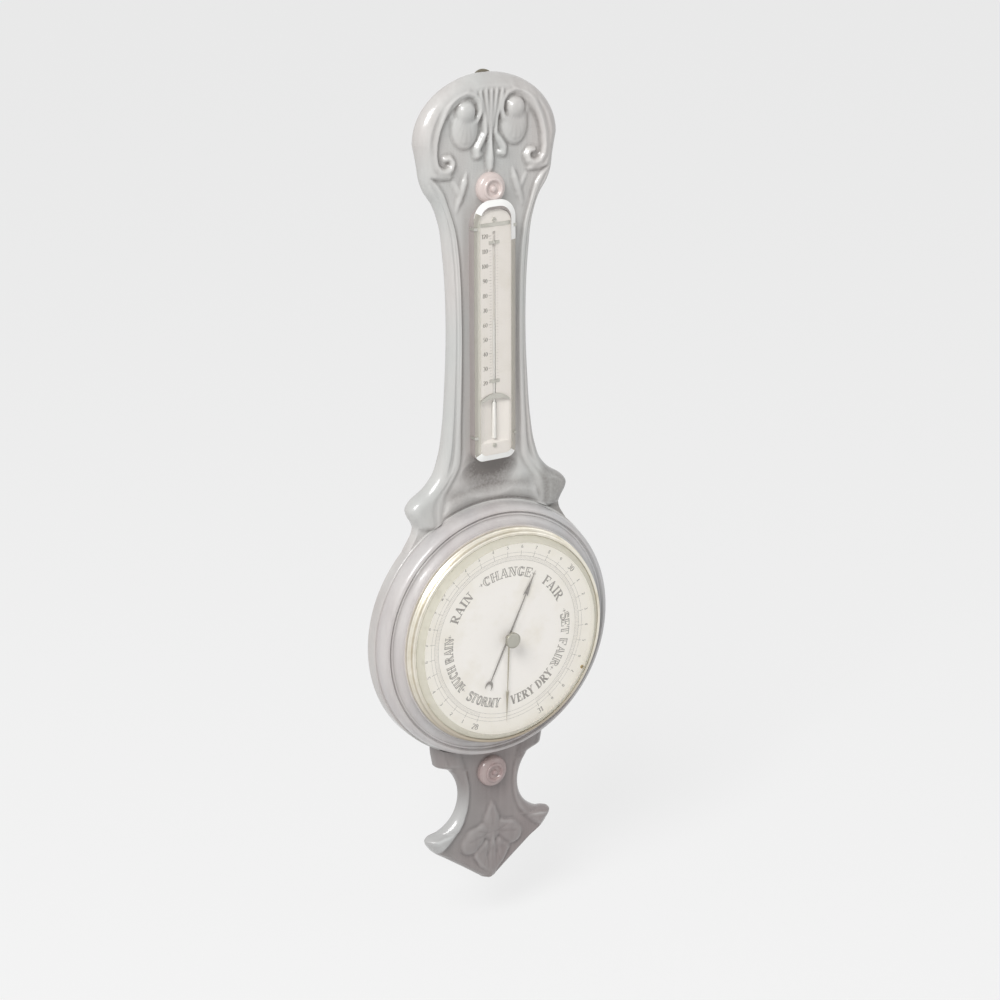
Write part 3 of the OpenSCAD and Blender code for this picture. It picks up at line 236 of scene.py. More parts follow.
@dataclass
class UpperRelief(Relief):
    """Outline and carving of the head, the neck and the ears.

    Attributes:
        head_w, head_h, head_v: Half width of the head, height of its arch, and height of its widest line.
        foot_z: Level of the ears' flat feet.
        bead_z, groove_z: Top of the neck's bead, and floor of the groove beside it.
        cushion_z: Top of the cushion round the head.
        volute, ball_r: Middle and radius of the volute's ball.
        cup: Middle of the husk below it.
        lip: Ridge round the head, as stations of x, v, half width and level, like band, lobe, ribs, drop
            and shoulder, which are the volute's band, the leaf's side lobe and ribs, the drop at its
            foot and the pointed ribs on the neck.
        outline: Half width by height, below the head's widest line.
        inner: Inner edge of the border by height.
    """

    edge_h: float = 3.5
    ground_z: float = 11.8
    join_w: float = 89.0
    bend_end: float = 172.0
    undercut: float = 1.2
    head_w: float = 73.4
    head_h: float = 58.0
    head_v: float = 462.0
    foot_z: float = 9.5
    bead_z: float = 14.6
    groove_z: float = 13.0
    cushion_z: float = 16.2
    volute: tuple = (25.6, 488.6)
    ball_r: float = 9.4
    cup: tuple = (25.6, 474.0)
    lip: tuple = (
        (25, 505, 3, 17.5), (33, 503.5, 3.4, 17.6), (40, 499, 3.6, 17.6), (46, 491, 3.6, 17.6),
        (50.6, 482, 3.3, 17.4), (54, 473.5, 3, 17.2), (56.4, 463, 2.7, 17), (57, 452, 2.6, 17),
        (55.6, 443.5, 2.8, 17), (51.5, 438.4, 3.2, 17), (46, 437, 3.4, 17), (40.6, 439.6, 3.4, 16.8),
        (38.6, 444.6, 3.2, 16.4), (41.4, 449, 2.8, 16), (46, 448.6, 2.6, 15.6))
    band: tuple = (
        (33, 503.5, 3.2, 17.6), (25, 505, 3.2, 17.8), (17, 502, 3.2, 18), (12, 496, 3, 18),
        (10.8, 488, 2.8, 17.8), (13.4, 480.6, 2.6, 17.4), (19.4, 476.8, 2.2, 17), (26, 477, 1.8, 16.4))
    lobe: tuple = (
        (11.6, 504.5, 2.6, 17.6), (8.8, 494, 2.2, 17.4), (6.2, 480, 1.9, 17), (5, 468, 2.2, 16.8),
        (9.4, 461.4, 3.4, 17), (13.6, 454.6, 4, 17), (13.4, 449.2, 3.7, 16.4), (9.8, 449.6, 2.4, 15))
    ribs: tuple = (((0, 505, 2.4, 17.6), (0, 488, 1.8, 17.4), (0, 470, 1.3, 17)),
                   ((5.6, 505, 2.5, 17.6), (3.9, 490, 1.8, 17.2), (2, 474, 1.2, 16.6)))
    drop: tuple = ((0, 471, 1.7, 16.6), (0, 456, 2.4, 16.8), (0, 445, 4, 17), (0, 437.5, 3.4, 16),
                   (0, 432, 1.2, 13.5))
    shoulder: tuple = (((24.4, 434, 1.2, 13), (26, 426.5, 3.2, 14.8), (29, 417.5, 3.4, 14.8),
                        (32.6, 408, 2.4, 14), (34.4, 401, 1.2, 13)),
                       ((38.4, 428, 1.4, 12.8), (34, 421, 2.4, 13.6), (29, 410, 1.8, 13)))
    outline: Curve = Curve([
        [462, 73.4], [444, 69.8], [430, 67.4], [420, 63.4], [408, 55.2], [390, 48.2], [360, 43.9],
        [300, 40.9], [240, 43], [200, 46.4], [174, 51.2], [156, 59], [146, 68.6], [138, 81],
        [131, 86.4], [124, 85], [117, 80.8], [112, 78.4], [107, 79], [98, 84], [89.8, 89], [80, 89]])
    inner: Curve = Curve([
        [440, 66], [434, 63], [428, 55], [420, 48.5], [410, 44.5], [400, 41], [388, 37], [370, 33.5],
        [340, 31], [300, 30], [240, 30.5], [200, 31.5], [175, 32], [165, 33.5], [150, 42],
        [142, 47.5], [130, 50], [90, 52]])

    def half_width(self, v: Array) -> Array:
        """Returns the outline's half width at heights v."""
        arch = self.head_w * np.sqrt(np.clip(1 - ((v - self.head_v) / self.head_h) ** 2, 0, None))
        return np.where(v > self.head_v, arch, self.outline(np.minimum(v, self.head_v)))

    def edge_distance(self, x: Array, v: Array) -> Array:
        """Returns the distance of points inside the outline from it."""
        u = (v - self.head_v) / self.head_h
        q = np.sqrt((x / self.head_w) ** 2 + u * u)
        g = np.sqrt((x / self.head_w**2) ** 2 + (u / self.head_h) ** 2)
        arch = (1 - q) * q / np.maximum(g, 0.001)
        slope = self.half_width(v + 0.5) - self.half_width(v - 0.5)
        side = (self.half_width(v) - x) / np.sqrt(1 + slope**2)
        return np.where(v > self.head_v, arch, side)

    def border_start(self, v: Array) -> Array:
        """Returns the inner edge of the raised border at heights v."""
        return np.minimum(self.inner(v), self.half_width(v) - 4)

    def field_z(self, x: Array, v: Array) -> Array:
        """Returns the sunk field with the apron over the drum and the scoop below the thermometer."""
        r = np.hypot(x, v)
        swell = self.ground_z + 3.0 * np.clip(1 - ((r - 135) / 7) ** 2, 0, None)
        apron = np.where(r < self.apron_r, self.apron_z, swell)
        return np.where(v > 171, self.ground_z, apron - 4.4 * bowl(x, v, 33, 152, 20) ** 0.8)

    def shade(self, x: Array, v: Array) -> Array:
        """Returns the painted shade: under the thermometer box, beside the neck's border, over the apron
        round the drum, and on the right side, which faces away from the lamp.
        """
        # Painted shadow under the thermometer box, and painted shade beside the neck's border and over the
        # apron.
        below = bowl(x, v, 31, 160, 26) * smooth(128, 162, v)
        beside = 0.12 * smooth(160, 190, v) * smooth(430, 400, v) * smooth(31, 27, np.abs(x))
        apron = 0.4 * smooth(52, 40, np.abs(x)) * smooth(150, 138, v)
        # Painted shade on the right ear and the neck's right side, which face away from the key lamp.
        away = 0.55 * smooth(46, 60, x) * smooth(165, 145, v) + 0.15 * smooth(31, 36, x) * smooth(150, 170, v)
        return 1.15 * below**0.7 + beside + apron + away * smooth(430, 400, v)

    def border_z(self, x: Array, v: Array) -> Array:
        """Returns the neck's bead, groove and rounded edge, which turn into the ears' lobes."""
        start = self.border_start(v)
        t = (x - start) / np.maximum(self.half_width(v) - start, 0.01)
        bead = self.ground_z + (self.bead_z - self.ground_z) * dome(t - 0.23, 0.23)
        outer = self.groove_z + (14 - self.groove_z) * smooth(0.57, 0.64, t)
        outer = outer - 0.5 * bell(t, 0.78, 0.035)
        neck = np.where(t < 0.45, bead, outer)
        ear = self.ground_z + 3.4 * dome(1 - np.clip(t / 0.5, 0, 1), 1) - 0.7 * dome(t - 0.3, 0.1)
        lobe = mix(neck, ear, smooth(172, 150, v))
        foot_line = 110.5 + 5 * ((x - 64) / 18) ** 2
        lobe = mix(np.minimum(self.foot_z, lobe), lobe, smooth(-1.2, 1.2, v - foot_line))
        return np.where(t < 0, self.field_z(x, v), lobe)

    def lobe_low(self, x: Array) -> Array:
        """Returns the height of the lower edge of the head's side lobes."""
        return 429.5 + 8 * (np.clip(x - 40, 0, None) / 35) ** 1.5

    def scroll_z(self, x: Array, v: Array) -> Array:
        """Returns the cushion round the head and the scroll that curls in at its lower end."""
        around = np.hypot(x / 57, (v - 452) / 52)
        beside = smooth(55, 58, x + 0.02 * (v - 452) ** 2 * (v > 440))
        under = smooth(8.5, 11, np.hypot(x - 47, v - 446)) * smooth(38, 43, x) * (v < 446)
        outside = np.where(v > 452, smooth(0.97, 1.05, around), np.maximum(beside, under))
        low = self.lobe_low(x)
        swell = (self.cushion_z - self.ground_z) * outside * smooth(low - 2, low + 2.5, v)
        gap = path_distance(x, v, *zip(self.lip, self.lip[1:]))
        swell = swell - 0.9 * bell(gap, 4.6, 1.4) * outside
        return np.maximum(self.ground_z + swell, ridge(x, v, self.lip, self.ground_z))

    def volute_z(self, x: Array, v: Array) -> Array:
        """Returns the volute, a ball in a band that winds round it, and the husk below."""
        d = np.hypot(x - self.volute[0], v - self.volute[1])
        bed = np.where(d < 16, 13.2, 0)
        ball = np.where(d < self.ball_r, 14 + 7 * dome(d, self.ball_r), 0)
        e = np.hypot((x - self.cup[0]) / 13.2, (v - self.cup[1]) / 18.4)
        veins = 0.3 * np.cos(np.arctan2(x - self.cup[0], 492 - v) * 34) * smooth(0.95, 0.6, e)
        edge = 0.8 * bell(e, 0.8, 0.05)
        husk = np.where((e < 1) & (v < 484), 12.4 + 5 * dome(e, 1) ** 0.8 - veins - edge, 0)
        return np.maximum.reduce([bed, ball, husk, ridge(x, v, self.band, self.ground_z)])

    def leaf_z(self, x: Array, v: Array) -> Array:
        """Returns the ribbed fan of the middle leaf, its side lobes and the drop at its foot."""
        w = 2.2 + 9.5 * smooth(466, 506, v)
        bed = np.where((x < w) & (v > 466) & (v < 505), 14.8, 0)
        parts = [ridge(x, v, path, 14) for path in self.ribs]
        parts += [ridge(x, v, self.lobe, self.ground_z), ridge(x, v, self.drop, self.ground_z)]
        crease = 0.9 * bell(path_distance(x, v, ((6, 470), (12.5, 451))), 0, 0.8)
        return np.maximum.reduce([bed] + parts) - crease * (v < 468)

    def height(self, px: Array, v: Array) -> Array:
        """Returns the carved surface's distance from the wall, without the stipple."""
        x = np.abs(px)
        lobe = smooth(428, 442, v)
        ear = smooth(175, 150, v)
        top = 14 + 2.2 * lobe + ear
        e = np.clip(self.edge_distance(x, v), 0, None)
        width = 7 + 6 * lobe + 2 * ear
        cap = rounded_edge(e, width, self.edge_h, top)
        head = np.maximum.reduce([self.scroll_z(x, v), self.volute_z(x, v), self.leaf_z(x, v)])
        in_head = (v > 431) & ((x < 38) | (v > self.lobe_low(x)))
        body = np.where(in_head, head, self.border_z(x, v))
        shoulder = np.maximum.reduce([ridge(x, v, path, self.ground_z - 0.3) for path in self.shoulder])
        body = np.maximum(body, np.where((v > 398) & (v < 441), shoulder, 0))
        return np.minimum(cap + 0.9 * np.clip(e - 9, 0, None), body)

    def punched(self, px: Array, v: Array, z: Array) -> Array:
        """Returns how deep the stipple lies at each point of a finished surface."""
        x = np.abs(px)
        bare = (v > 404) & (v < 470) & (x < 52) & (z < self.ground_z + 0.5)
        apart = smooth(17, 19, np.hypot(x, v - 418.7))
        return np.where(bare, self.stipple(x, v) * apart * smooth(404, 412, v), 0)

    def cut_under(self, x: Array, v: Array) -> tuple:
        """Returns where the back's points lie, a little inside the outline."""
        w = self.half_width(v)
        high = np.where(v > self.head_v, v - self.undercut * (v - self.head_v) / self.head_h, v)
        return x * (1 - self.undercut / np.maximum(w, 12) * smooth(100, 130, v)), high

    def grid(self) -> tuple:
        """Returns the grid's x and v, with rows and columns closer where the carving is fine."""
        v = np.concatenate([
            np.linspace(self.join_v, self.bend_end, 78, endpoint=False),
            np.linspace(self.bend_end, 396, 34, endpoint=False),
            np.linspace(396, self.head_v, 116, endpoint=False),
            self.head_v + self.head_h * np.sin(np.radians(np.linspace(0, 88.2, 104)))])[:, None]
        half, split = 138, 0.45
        j = np.arange(-half, half + 1)[None, :]
        s = np.abs(j) / half
        w, b = self.half_width(v), self.border_start(v)
        outside = mix(b, w, 1 - (1 - (s - split) / (1 - split)) ** 1.5)
        neck = np.where(s < split, b * s / split, outside)
        head = w * (1 - (1 - s) ** 1.15)
        x = np.sign(j) * mix(neck, head, smooth(404, 436, v))
        return x, self.bent(v, x, w)


@dataclass
class TailRelief(Relief):
    """Outline and carving of the tail.

    Attributes:
        waist, waist_r: Centre and radius of the hollow that narrows the tail.
        wing_top: Height of the top of the tail's wings.
        lobes: Ridges of the leaf, as stations of x, v, half width and level, like the stem.
        veins: Straight cuts across the leaf.
        stem: Ridge of the leaf's stem.
        top: Half width by height where the tail leaves the round body.
        wing: Half width by height below the wings' top.
        inner: Inner edge of the border by height.
    """

    edge_h: float = 2.4
    ground_z: float = 11.0
    join_w: float = 62.0
    bend_end: float = 150.0
    undercut: float = 2.5
    waist: tuple = (71.5, -167.0)
    waist_r: float = 38.5
    wing_top: float = -203.5
    lobes: tuple = (((0, -182, 1.5, 12), (0, -189, 5.5, 14), (0, -199, 9.6, 15), (0, -213, 9.6, 15)),
                    ((10, -208, 7, 14.6), (19, -216, 12, 15.6), (24, -221, 11, 15.2)),
                    ((8, -226, 7, 14.4), (12.5, -234, 8, 14.6), (9, -244, 6, 13.8), (3, -254, 3, 12.6)))
    veins: tuple = (((1.5, -212), (26, -217)), ((1.5, -214), (17, -228)), ((0, -188), (0, -204)),
                    ((2, -216), (9, -246)), ((6, -212), (16, -208)))
    stem: tuple = ((0, -204, 1, 13.4), (0, -216, 3, 16), (0, -234, 4, 16.2), (0, -250, 5, 14.4),
                   (0, -260, 5.5, 12.6))
    top: Curve = Curve([
        [-90, 62], [-112, 62], [-118, 61.6], [-124, 60.6], [-130, 59.4]])
    wing: Curve = Curve([
        [-203.5, 59.3], [-204.6, 66], [-206.4, 69.8], [-210, 70.3], [-216, 67], [-223, 61], [-233, 47.4],
        [-252.5, 21], [-260.5, 10.4], [-264, 5.4], [-265, 2.6]])
    inner: Curve = Curve([
        [-90, 40], [-120, 36], [-135, 30], [-150, 26], [-170, 25], [-187, 28], [-200, 34],
        [-212, 45], [-222, 58], [-268, 60]])

    def half_width(self, v: Array) -> Array:
        """Returns the outline's half width at heights v, which are negative."""
        arc = np.sqrt(np.clip(self.waist_r**2 - (v - self.waist[1]) ** 2, 0, None))
        low = np.where(v > self.wing_top, self.waist[0] - arc, self.wing(np.minimum(v, self.wing_top)))
        joined = np.where(v > -140, mix(low, 59.4, smooth(-140, -130, v)), low)
        return np.where(v > -130, self.top(np.maximum(v, -130)), joined)

    def edge_distance(self, x: Array, v: Array) -> Array:
        """Returns the distance of points inside the outline from it."""
        slope = np.minimum(3, np.abs(self.half_width(v + 0.5) - self.half_width(v - 0.5)))
        return (self.half_width(v) - x) / np.sqrt(1 + slope**2)

    def leaf_z(self, x: Array, v: Array) -> Array:
        """Returns the leaf's pointed middle lobe, its side lobes and the ribbed stem."""
        parts = [ridge(x, v, path, self.ground_z - 0.4) for path in self.lobes]
        leaf = np.maximum.reduce(parts) - 0.9 * bell(path_distance(x, v, *self.veins), 0, 0.8)
        stem = ridge(x, v, self.stem, self.ground_z)
        return np.maximum(leaf, stem - 0.7 * bell(x, 2.1, 0.6) * (stem > 0))

    def shade(self, x: Array, v: Array) -> Array:
        """Returns a darkening of the ground in the middle of the tail above the leaf, less the painted light
        on the left border.
        """
        # Painted light: the left border is lightened, as the lamp falls on it from the left.
        lit_left_border = smooth(-1, 4, -x - self.inner(v)) * smooth(-150, -195, v)
        return 0.3 * bowl(x, v, 24, -160, 30) - 1.3 * lit_left_border

    def height(self, px: Array, v: Array) -> Array:
        """Returns the carved surface's distance from the wall."""
        x = np.abs(px)
        w = self.half_width(v)
        start = np.minimum(self.inner(v), w - 1.5)
        t = (x - start) / np.maximum(w - start, 0.01)
        wing = smooth(-190, -202, v) * smooth(-232, -222, v)
        top = 13.4 + 1.8 * wing
        flat = np.where(np.hypot(x, v) < self.apron_r, self.apron_z, self.ground_z)
        e = np.clip(self.edge_distance(x, v), 0, None)
        wide = 9 + 5 * smooth(-195, -215, v)
        cap = rounded_edge(e, wide, self.edge_h, top)
        rise = dome(1 - np.clip(t / 0.4, 0, 1), 1)
        body = np.where(t < 0, flat, flat + (top - flat) * rise)
        line = 0.5 * bell(t, 0.62, 0.05) * smooth(-200, -188, v)
        body = body - np.where(t > 0.2, line, 0)
        body = np.maximum(body, np.where(v < -170, self.leaf_z(x, v), 0))
        return np.minimum(cap, body)

    def punched(self, px: Array, v: Array, z: Array) -> Array:
        """Returns how deep the stipple lies at each point of a finished surface."""
        bare = (v < -212) & (z < self.ground_z + 0.5)
        return np.where(bare, self.stipple(np.abs(px), v), 0)

    def cut_under(self, x: Array, v: Array) -> tuple:
        """Returns where the back's points lie, a little inside the outline."""
        share = 1 - self.undercut / np.maximum(self.half_width(v), 10) * smooth(-130, -150, v)
        low = np.where(v < self.wing_top, v + self.undercut * (self.wing_top - v) / 64.5, v)
        return x * share, low

    def grid(self) -> tuple:
        """Returns the grid's x and v, with rows and columns closer where the carving is fine."""
        u = np.concatenate([
            np.linspace(self.join_v, self.bend_end, 52, endpoint=False),
            np.linspace(self.bend_end, 200, 52, endpoint=False),
            np.linspace(200, 264.8, 128)])[:, None]
        half = 112
        j = np.arange(half, -half - 1, -1)[None, :]
        w = self.half_width(-u)
        x = np.sign(j) * w * (1 - (1 - np.abs(j) / half) ** 1.2)
        return x, -self.bent(u, x, w)


def linked(name: str, data: object) -> Piece:
    """Makes an object at the origin and links it to the scene."""
    made = bpy.data.objects.new(name, data)
    bpy.context.scene.collection.objects.link(made)
    return made


def points_of(mesh: bpy.types.Mesh) -> Array:
    """Returns a mesh's points as an array of three columns."""
    points = np.empty(len(mesh.vertices) * 3)
    mesh.vertices.foreach_get("co", points)
    return points.reshape(-1, 3)


def quads_of(index: Array) -> Array:
    """Returns the four corners of every field of a grid of point indices."""
    corners = [index[:-1, :-1], index[1:, :-1], index[1:, 1:], index[:-1, 1:]]
    return np.stack(corners, axis=-1).reshape(-1, 4)


def bake_modifiers(piece: Piece) -> None:
    """Replaces a piece's mesh by what its modifiers make of it."""
    graph = bpy.context.evaluated_depsgraph_get()
    made = bpy.data.meshes.new_from_object(piece.evaluated_get(graph))
    piece.modifiers.clear()
    piece.data = made


def mesh_object(name: str, points: Array, faces: list, finish: Material) -> Piece:
    """Makes a mesh object at the origin and links it to the scene.

    Args:
        name: Name of the piece.
        points: Points in metres in the shared frame.
        faces: Lists of point indices.
        finish: Material of the whole piece.

    Returns:
        The new object.
    """
    mesh = bpy.data.meshes.new(name)
    mesh.from_pydata(points.tolist(), [], [list(map(int, f)) for f in faces])
    mesh.validate()
    mesh.update()
    mesh.materials.append(finish)
    return linked(name, mesh)


def smooth_by_angle(piece: Piece, degrees: float) -> None:
    """Shades a mesh smooth, but keeps the edges that are sharper than an angle."""
    build = bmesh.new()
    build.from_mesh(piece.data)
    limit = math.radians(degrees)
    for face in build.faces:
        face.smooth = True
    for edge in build.edges:
        edge.smooth = len(edge.link_faces) == 2 and edge.calc_face_angle(0) < limit
    build.to_mesh(piece.data)
    build.free()


def faces_outward(piece: Piece) -> None:
    """Merges doubled points and turns every face outwards."""
    build = bmesh.new()
    build.from_mesh(piece.data)
    bmesh.ops.remove_doubles(build, verts=build.verts, dist=1e-7)
    bmesh.ops.recalc_face_normals(build, faces=build.faces)
    build.to_mesh(piece.data)
    build.free()


def closed_solid(name: str, points: Array, faces: list, finish: Material = None) -> Piece:
    """Makes a mesh object whose doubled points are merged and whose faces look outwards."""
    piece = mesh_object(name, points, faces, finish)
    faces_outward(piece)
    return piece


class CarvedBoard:
    """One carved board as a closed solid over a fine grid.

    BACK_PICKS is the number of stretches of the coarse back, SOFT how often the carving is worn round.
    """

    BACK_PICKS = 12
    SOFT = 4

    def __init__(self, name: str, relief: Relief) -> None:
        """Keeps the piece's name and its relief."""
        self.name, self.relief = name, relief

    def solid(self, finish: Material) -> Piece:
        """Builds the closed solid in its wood."""
        x, v = self.relief.grid()
        z = self.relief.height(x, v)
        edge = np.clip(self.relief.edge_distance(np.abs(x), v), 0, None)
        z = mix(z, softened(z, self.SOFT), smooth(0.3, 5, edge) * np.ones_like(z))
        z = z - self.relief.punched(x, v, z)
        n, m = x.shape
        picks = np.round(np.linspace(0, m - 1, self.BACK_PICKS + 1)).astype(int)
        top = to_frame(x, v, z).reshape(-1, 3)
        back_row = to_frame(x[0], v[0], np.zeros(m))
        back = to_frame(*self.relief.cut_under(x[1:, picks], v[1:, picks]), 0.0).reshape(-1, 3)
        index = np.arange(n * m).reshape(n, m)
        near, last = n * m + np.arange(m), len(picks) - 1
        low = n * m + m + np.arange((n - 1) * len(picks)).reshape(n - 1, len(picks))
        low = np.vstack([near[picks], low])
        faces = quads_of(index).tolist()
        for i in range(n - 1):
            faces.append([low[i, 0], low[i + 1, 0], index[i + 1, 0], index[i, 0]])
            faces.append([low[i + 1, -1], low[i, -1], index[i, -1], index[i + 1, -1]])
            if i:
                faces += [[low[i, k], low[i, k + 1], low[i + 1, k + 1], low[i + 1, k]] for k in range(last)]
        faces += [[near[j], index[0, j], index[0, j + 1], near[j + 1]] for j in range(m - 1)]
        for k in range(last):
            among = slice(picks[k], picks[k + 1] + 1)
            faces.append(list(near[among]) + [low[1, k + 1], low[1, k]])
            faces.append([low[-1, k], low[-1, k + 1]] + list(index[-1, among])[::-1])
        return closed_solid(self.name, np.vstack([top, back_row, back]), faces, finish)

    def store_hollow(self, piece: Piece) -> None:
        """Stores on each point of the cut board how deep it lies below the carving round it, plus the
        relief's painted shade and light.
        """
        mesh = piece.data
        points = points_of(mesh) / MM
        x, v, z = points[:, 0], points[:, 2] + HANG_HEIGHT, -points[:, 1]
        around = np.zeros_like(z)
        ring = [(r, a) for r in (1.6, 3.6) for a in range(0, 360, 45)]
        for r, a in ring:
            dx, dv = r * math.cos(math.radians(a)), r * math.sin(math.radians(a))
            inside = np.abs(x + dx) < self.relief.half_width(v + dv) - 0.2
            level = self.relief.height(x + dx, v + dv)
            around += np.where(inside, np.nan_to_num(level, nan=0.0), z)
        hollow = around / len(ring) - z
        edge = np.clip(self.relief.edge_distance(np.abs(x), v), 0, None)
        # The depth and the relief's painted shade darken the wood as grime and painted shade; negative values
        # give wear and painted light.
        hollow = np.clip(hollow / 1.5, -1, 1) * smooth(4, 11, edge) + self.relief.shade(x, v)
        hollow = np.where(z < 2.0, 0.0, hollow)
        layer = mesh.attributes.new("hollow", "FLOAT", "POINT")
        layer.data.foreach_set("value", hollow.astype(np.float32))


def prism(name: str, outline: list, low: float, high: float) -> Piece:
    """Raises an outline in the case's plane into a closed solid between two distances from the wall.

    Args:
        name: Name of the piece.
        outline: Points (x, v) in millimetres, in order.
        low: Distance of the back from the wall.
        high: Distance of the front from the wall.

    Returns:
        The new object, without a material of its own.
    """
    n = len(outline)
    flat = np.array(outline, float)
    points = np.vstack([to_frame(flat[:, 0], flat[:, 1], low), to_frame(flat[:, 0], flat[:, 1], high)])
    faces = [list(range(n)), list(range(2 * n - 1, n - 1, -1))]
    faces += [[i, (i + 1) % n, n + (i + 1) % n, n + i] for i in range(n)]
    return closed_solid(name, points, faces)


def cut_out(piece: Piece, *cutters: Piece) -> Piece:
    """Cuts closed objects out of a solid, removes them and returns the solid."""
    for cutter in cutters:
        step = piece.modifiers.new("opening", "BOOLEAN")
        step.operation = "DIFFERENCE"
        step.solver = "EXACT"
        step.object = cutter
    bake_modifiers(piece)
    for cutter in cutters:
        bpy.data.objects.remove(cutter)
    return piece


def finished(piece: Piece, finish: Material, degrees: float = 30) -> Piece:
    """Gives a piece its only material and its smooth shading, and returns it."""
    piece.data.materials.clear()
    piece.data.materials.append(finish)
    for face in piece.data.polygons:
        face.material_index = 0
    smooth_by_angle(piece, degrees)
    return piece


def loft(name: str, rings: list) -> Piece:
    """Joins closed rings of equal length, given in the frame, into one closed solid."""
    n = len(rings[0])
    faces = [list(range(n)), list(range(len(rings) * n - 1, (len(rings) - 1) * n - 1, -1))]
    for k in range(len(rings) - 1):
        for i in range(n):
            here, beside = k * n + i, k * n + (i + 1) % n
            faces.append([here, beside, beside + n, here + n])
    return closed_solid(name, np.vstack(rings), faces)


def merged(name: str, pieces: list) -> Piece:
    """Puts the shells of several pieces into one object."""
    build = bmesh.new()
    for piece in pieces:
        build.from_mesh(piece.data)
        bpy.data.objects.remove(piece)
    mesh = bpy.data.meshes.new(name)
    build.to_mesh(mesh)
    build.free()
    return linked(name, mesh)


def arc_radius(half_w: float, rise: float) -> float:
    """Returns the radius of an arc with a half width and a rise."""
    return (half_w * half_w + rise * rise) / (2 * rise)


def arc_top(x: Array, r: float, top: float) -> Array:
    """Returns the heights at x of an arc of radius r whose top is on the middle line."""
    return top - r + np.sqrt(r**2 - x**2)


def arc_points(x: float, v: float, r: float, angles: list) -> list:
    """Returns the points of a circle's arc at angles in degrees from the right."""
    return [(x + r * math.cos(math.radians(a)), v + r * math.sin(math.radians(a))) for a in angles]


def round_outline(x: float, v: float, r: float, steps: int = 48) -> list:
    """Returns the points of a circle in the case's plane."""
    return arc_points(x, v, r, [360 * i / steps for i in range(steps)])


class NodeTree:
    """Adds nodes to a tree and feeds their inputs with sockets, nodes or values."""

    def __init__(self, tree: bpy.types.NodeTree) -> None:
        """Keeps the tree and empties it."""
        self.tree, self.nodes, self.links = tree, tree.nodes, tree.links
        self.nodes.clear()

    def add(self, kind: str, settings: dict = None, **inputs: object) -> Node:
        """Adds a node.

        Args:
            kind: The node's type.
            settings: Properties of the node.
            inputs: Input names, with spaces as underscores, and what each is fed with.

        Returns:
            The new node.
        """
        node = self.nodes.new(kind)
        for key, value in (settings or {}).items():
            setattr(node, key, value)
        for key, value in inputs.items():
            self.feed(node.inputs[key.replace("_", " ")], value)
        return node

    def feed(self, socket: Socket, value: object) -> None:
        """Links an input to a socket or to a node's first output, or sets its value."""
        if isinstance(value, Node):
            value = value.outputs[0]
        if isinstance(value, Socket):
            self.links.new(value, socket)
        else:
            socket.default_value = value

    def math(self, operation: str, a: object, b: object = 0.0, clamp: bool = False) -> Socket:
        """Returns the result of an operation on two numbers."""
        node = self.add("ShaderNodeMath", {"operation": operation, "use_clamp": clamp})
        self.feed(node.inputs[0], a)
        self.feed(node.inputs[1], b)
        return node.outputs[0]

    def either(self, share: object, a: Node, b: Node) -> Node:
        """Returns a mix of two shaders, the second by a share."""
        both = self.add("ShaderNodeMixShader", Fac=share)
        self.feed(both.inputs[1], a)
        self.feed(both.inputs[2], b)
        return both


class Face(Enum):
    """How a letter's heavy strokes are drawn."""

    SOLID = "solid"
    OPEN = "open"


class Upright(Enum):
    """Which way the tops of letters on an arc point."""

    OUTWARD = 1
    INWARD = -1


@dataclass(frozen=True)
class Stroke:
    """One stroke of a letter, as a middle line with a half width at each point."""

    line: tuple
    half: tuple
    heavy: bool


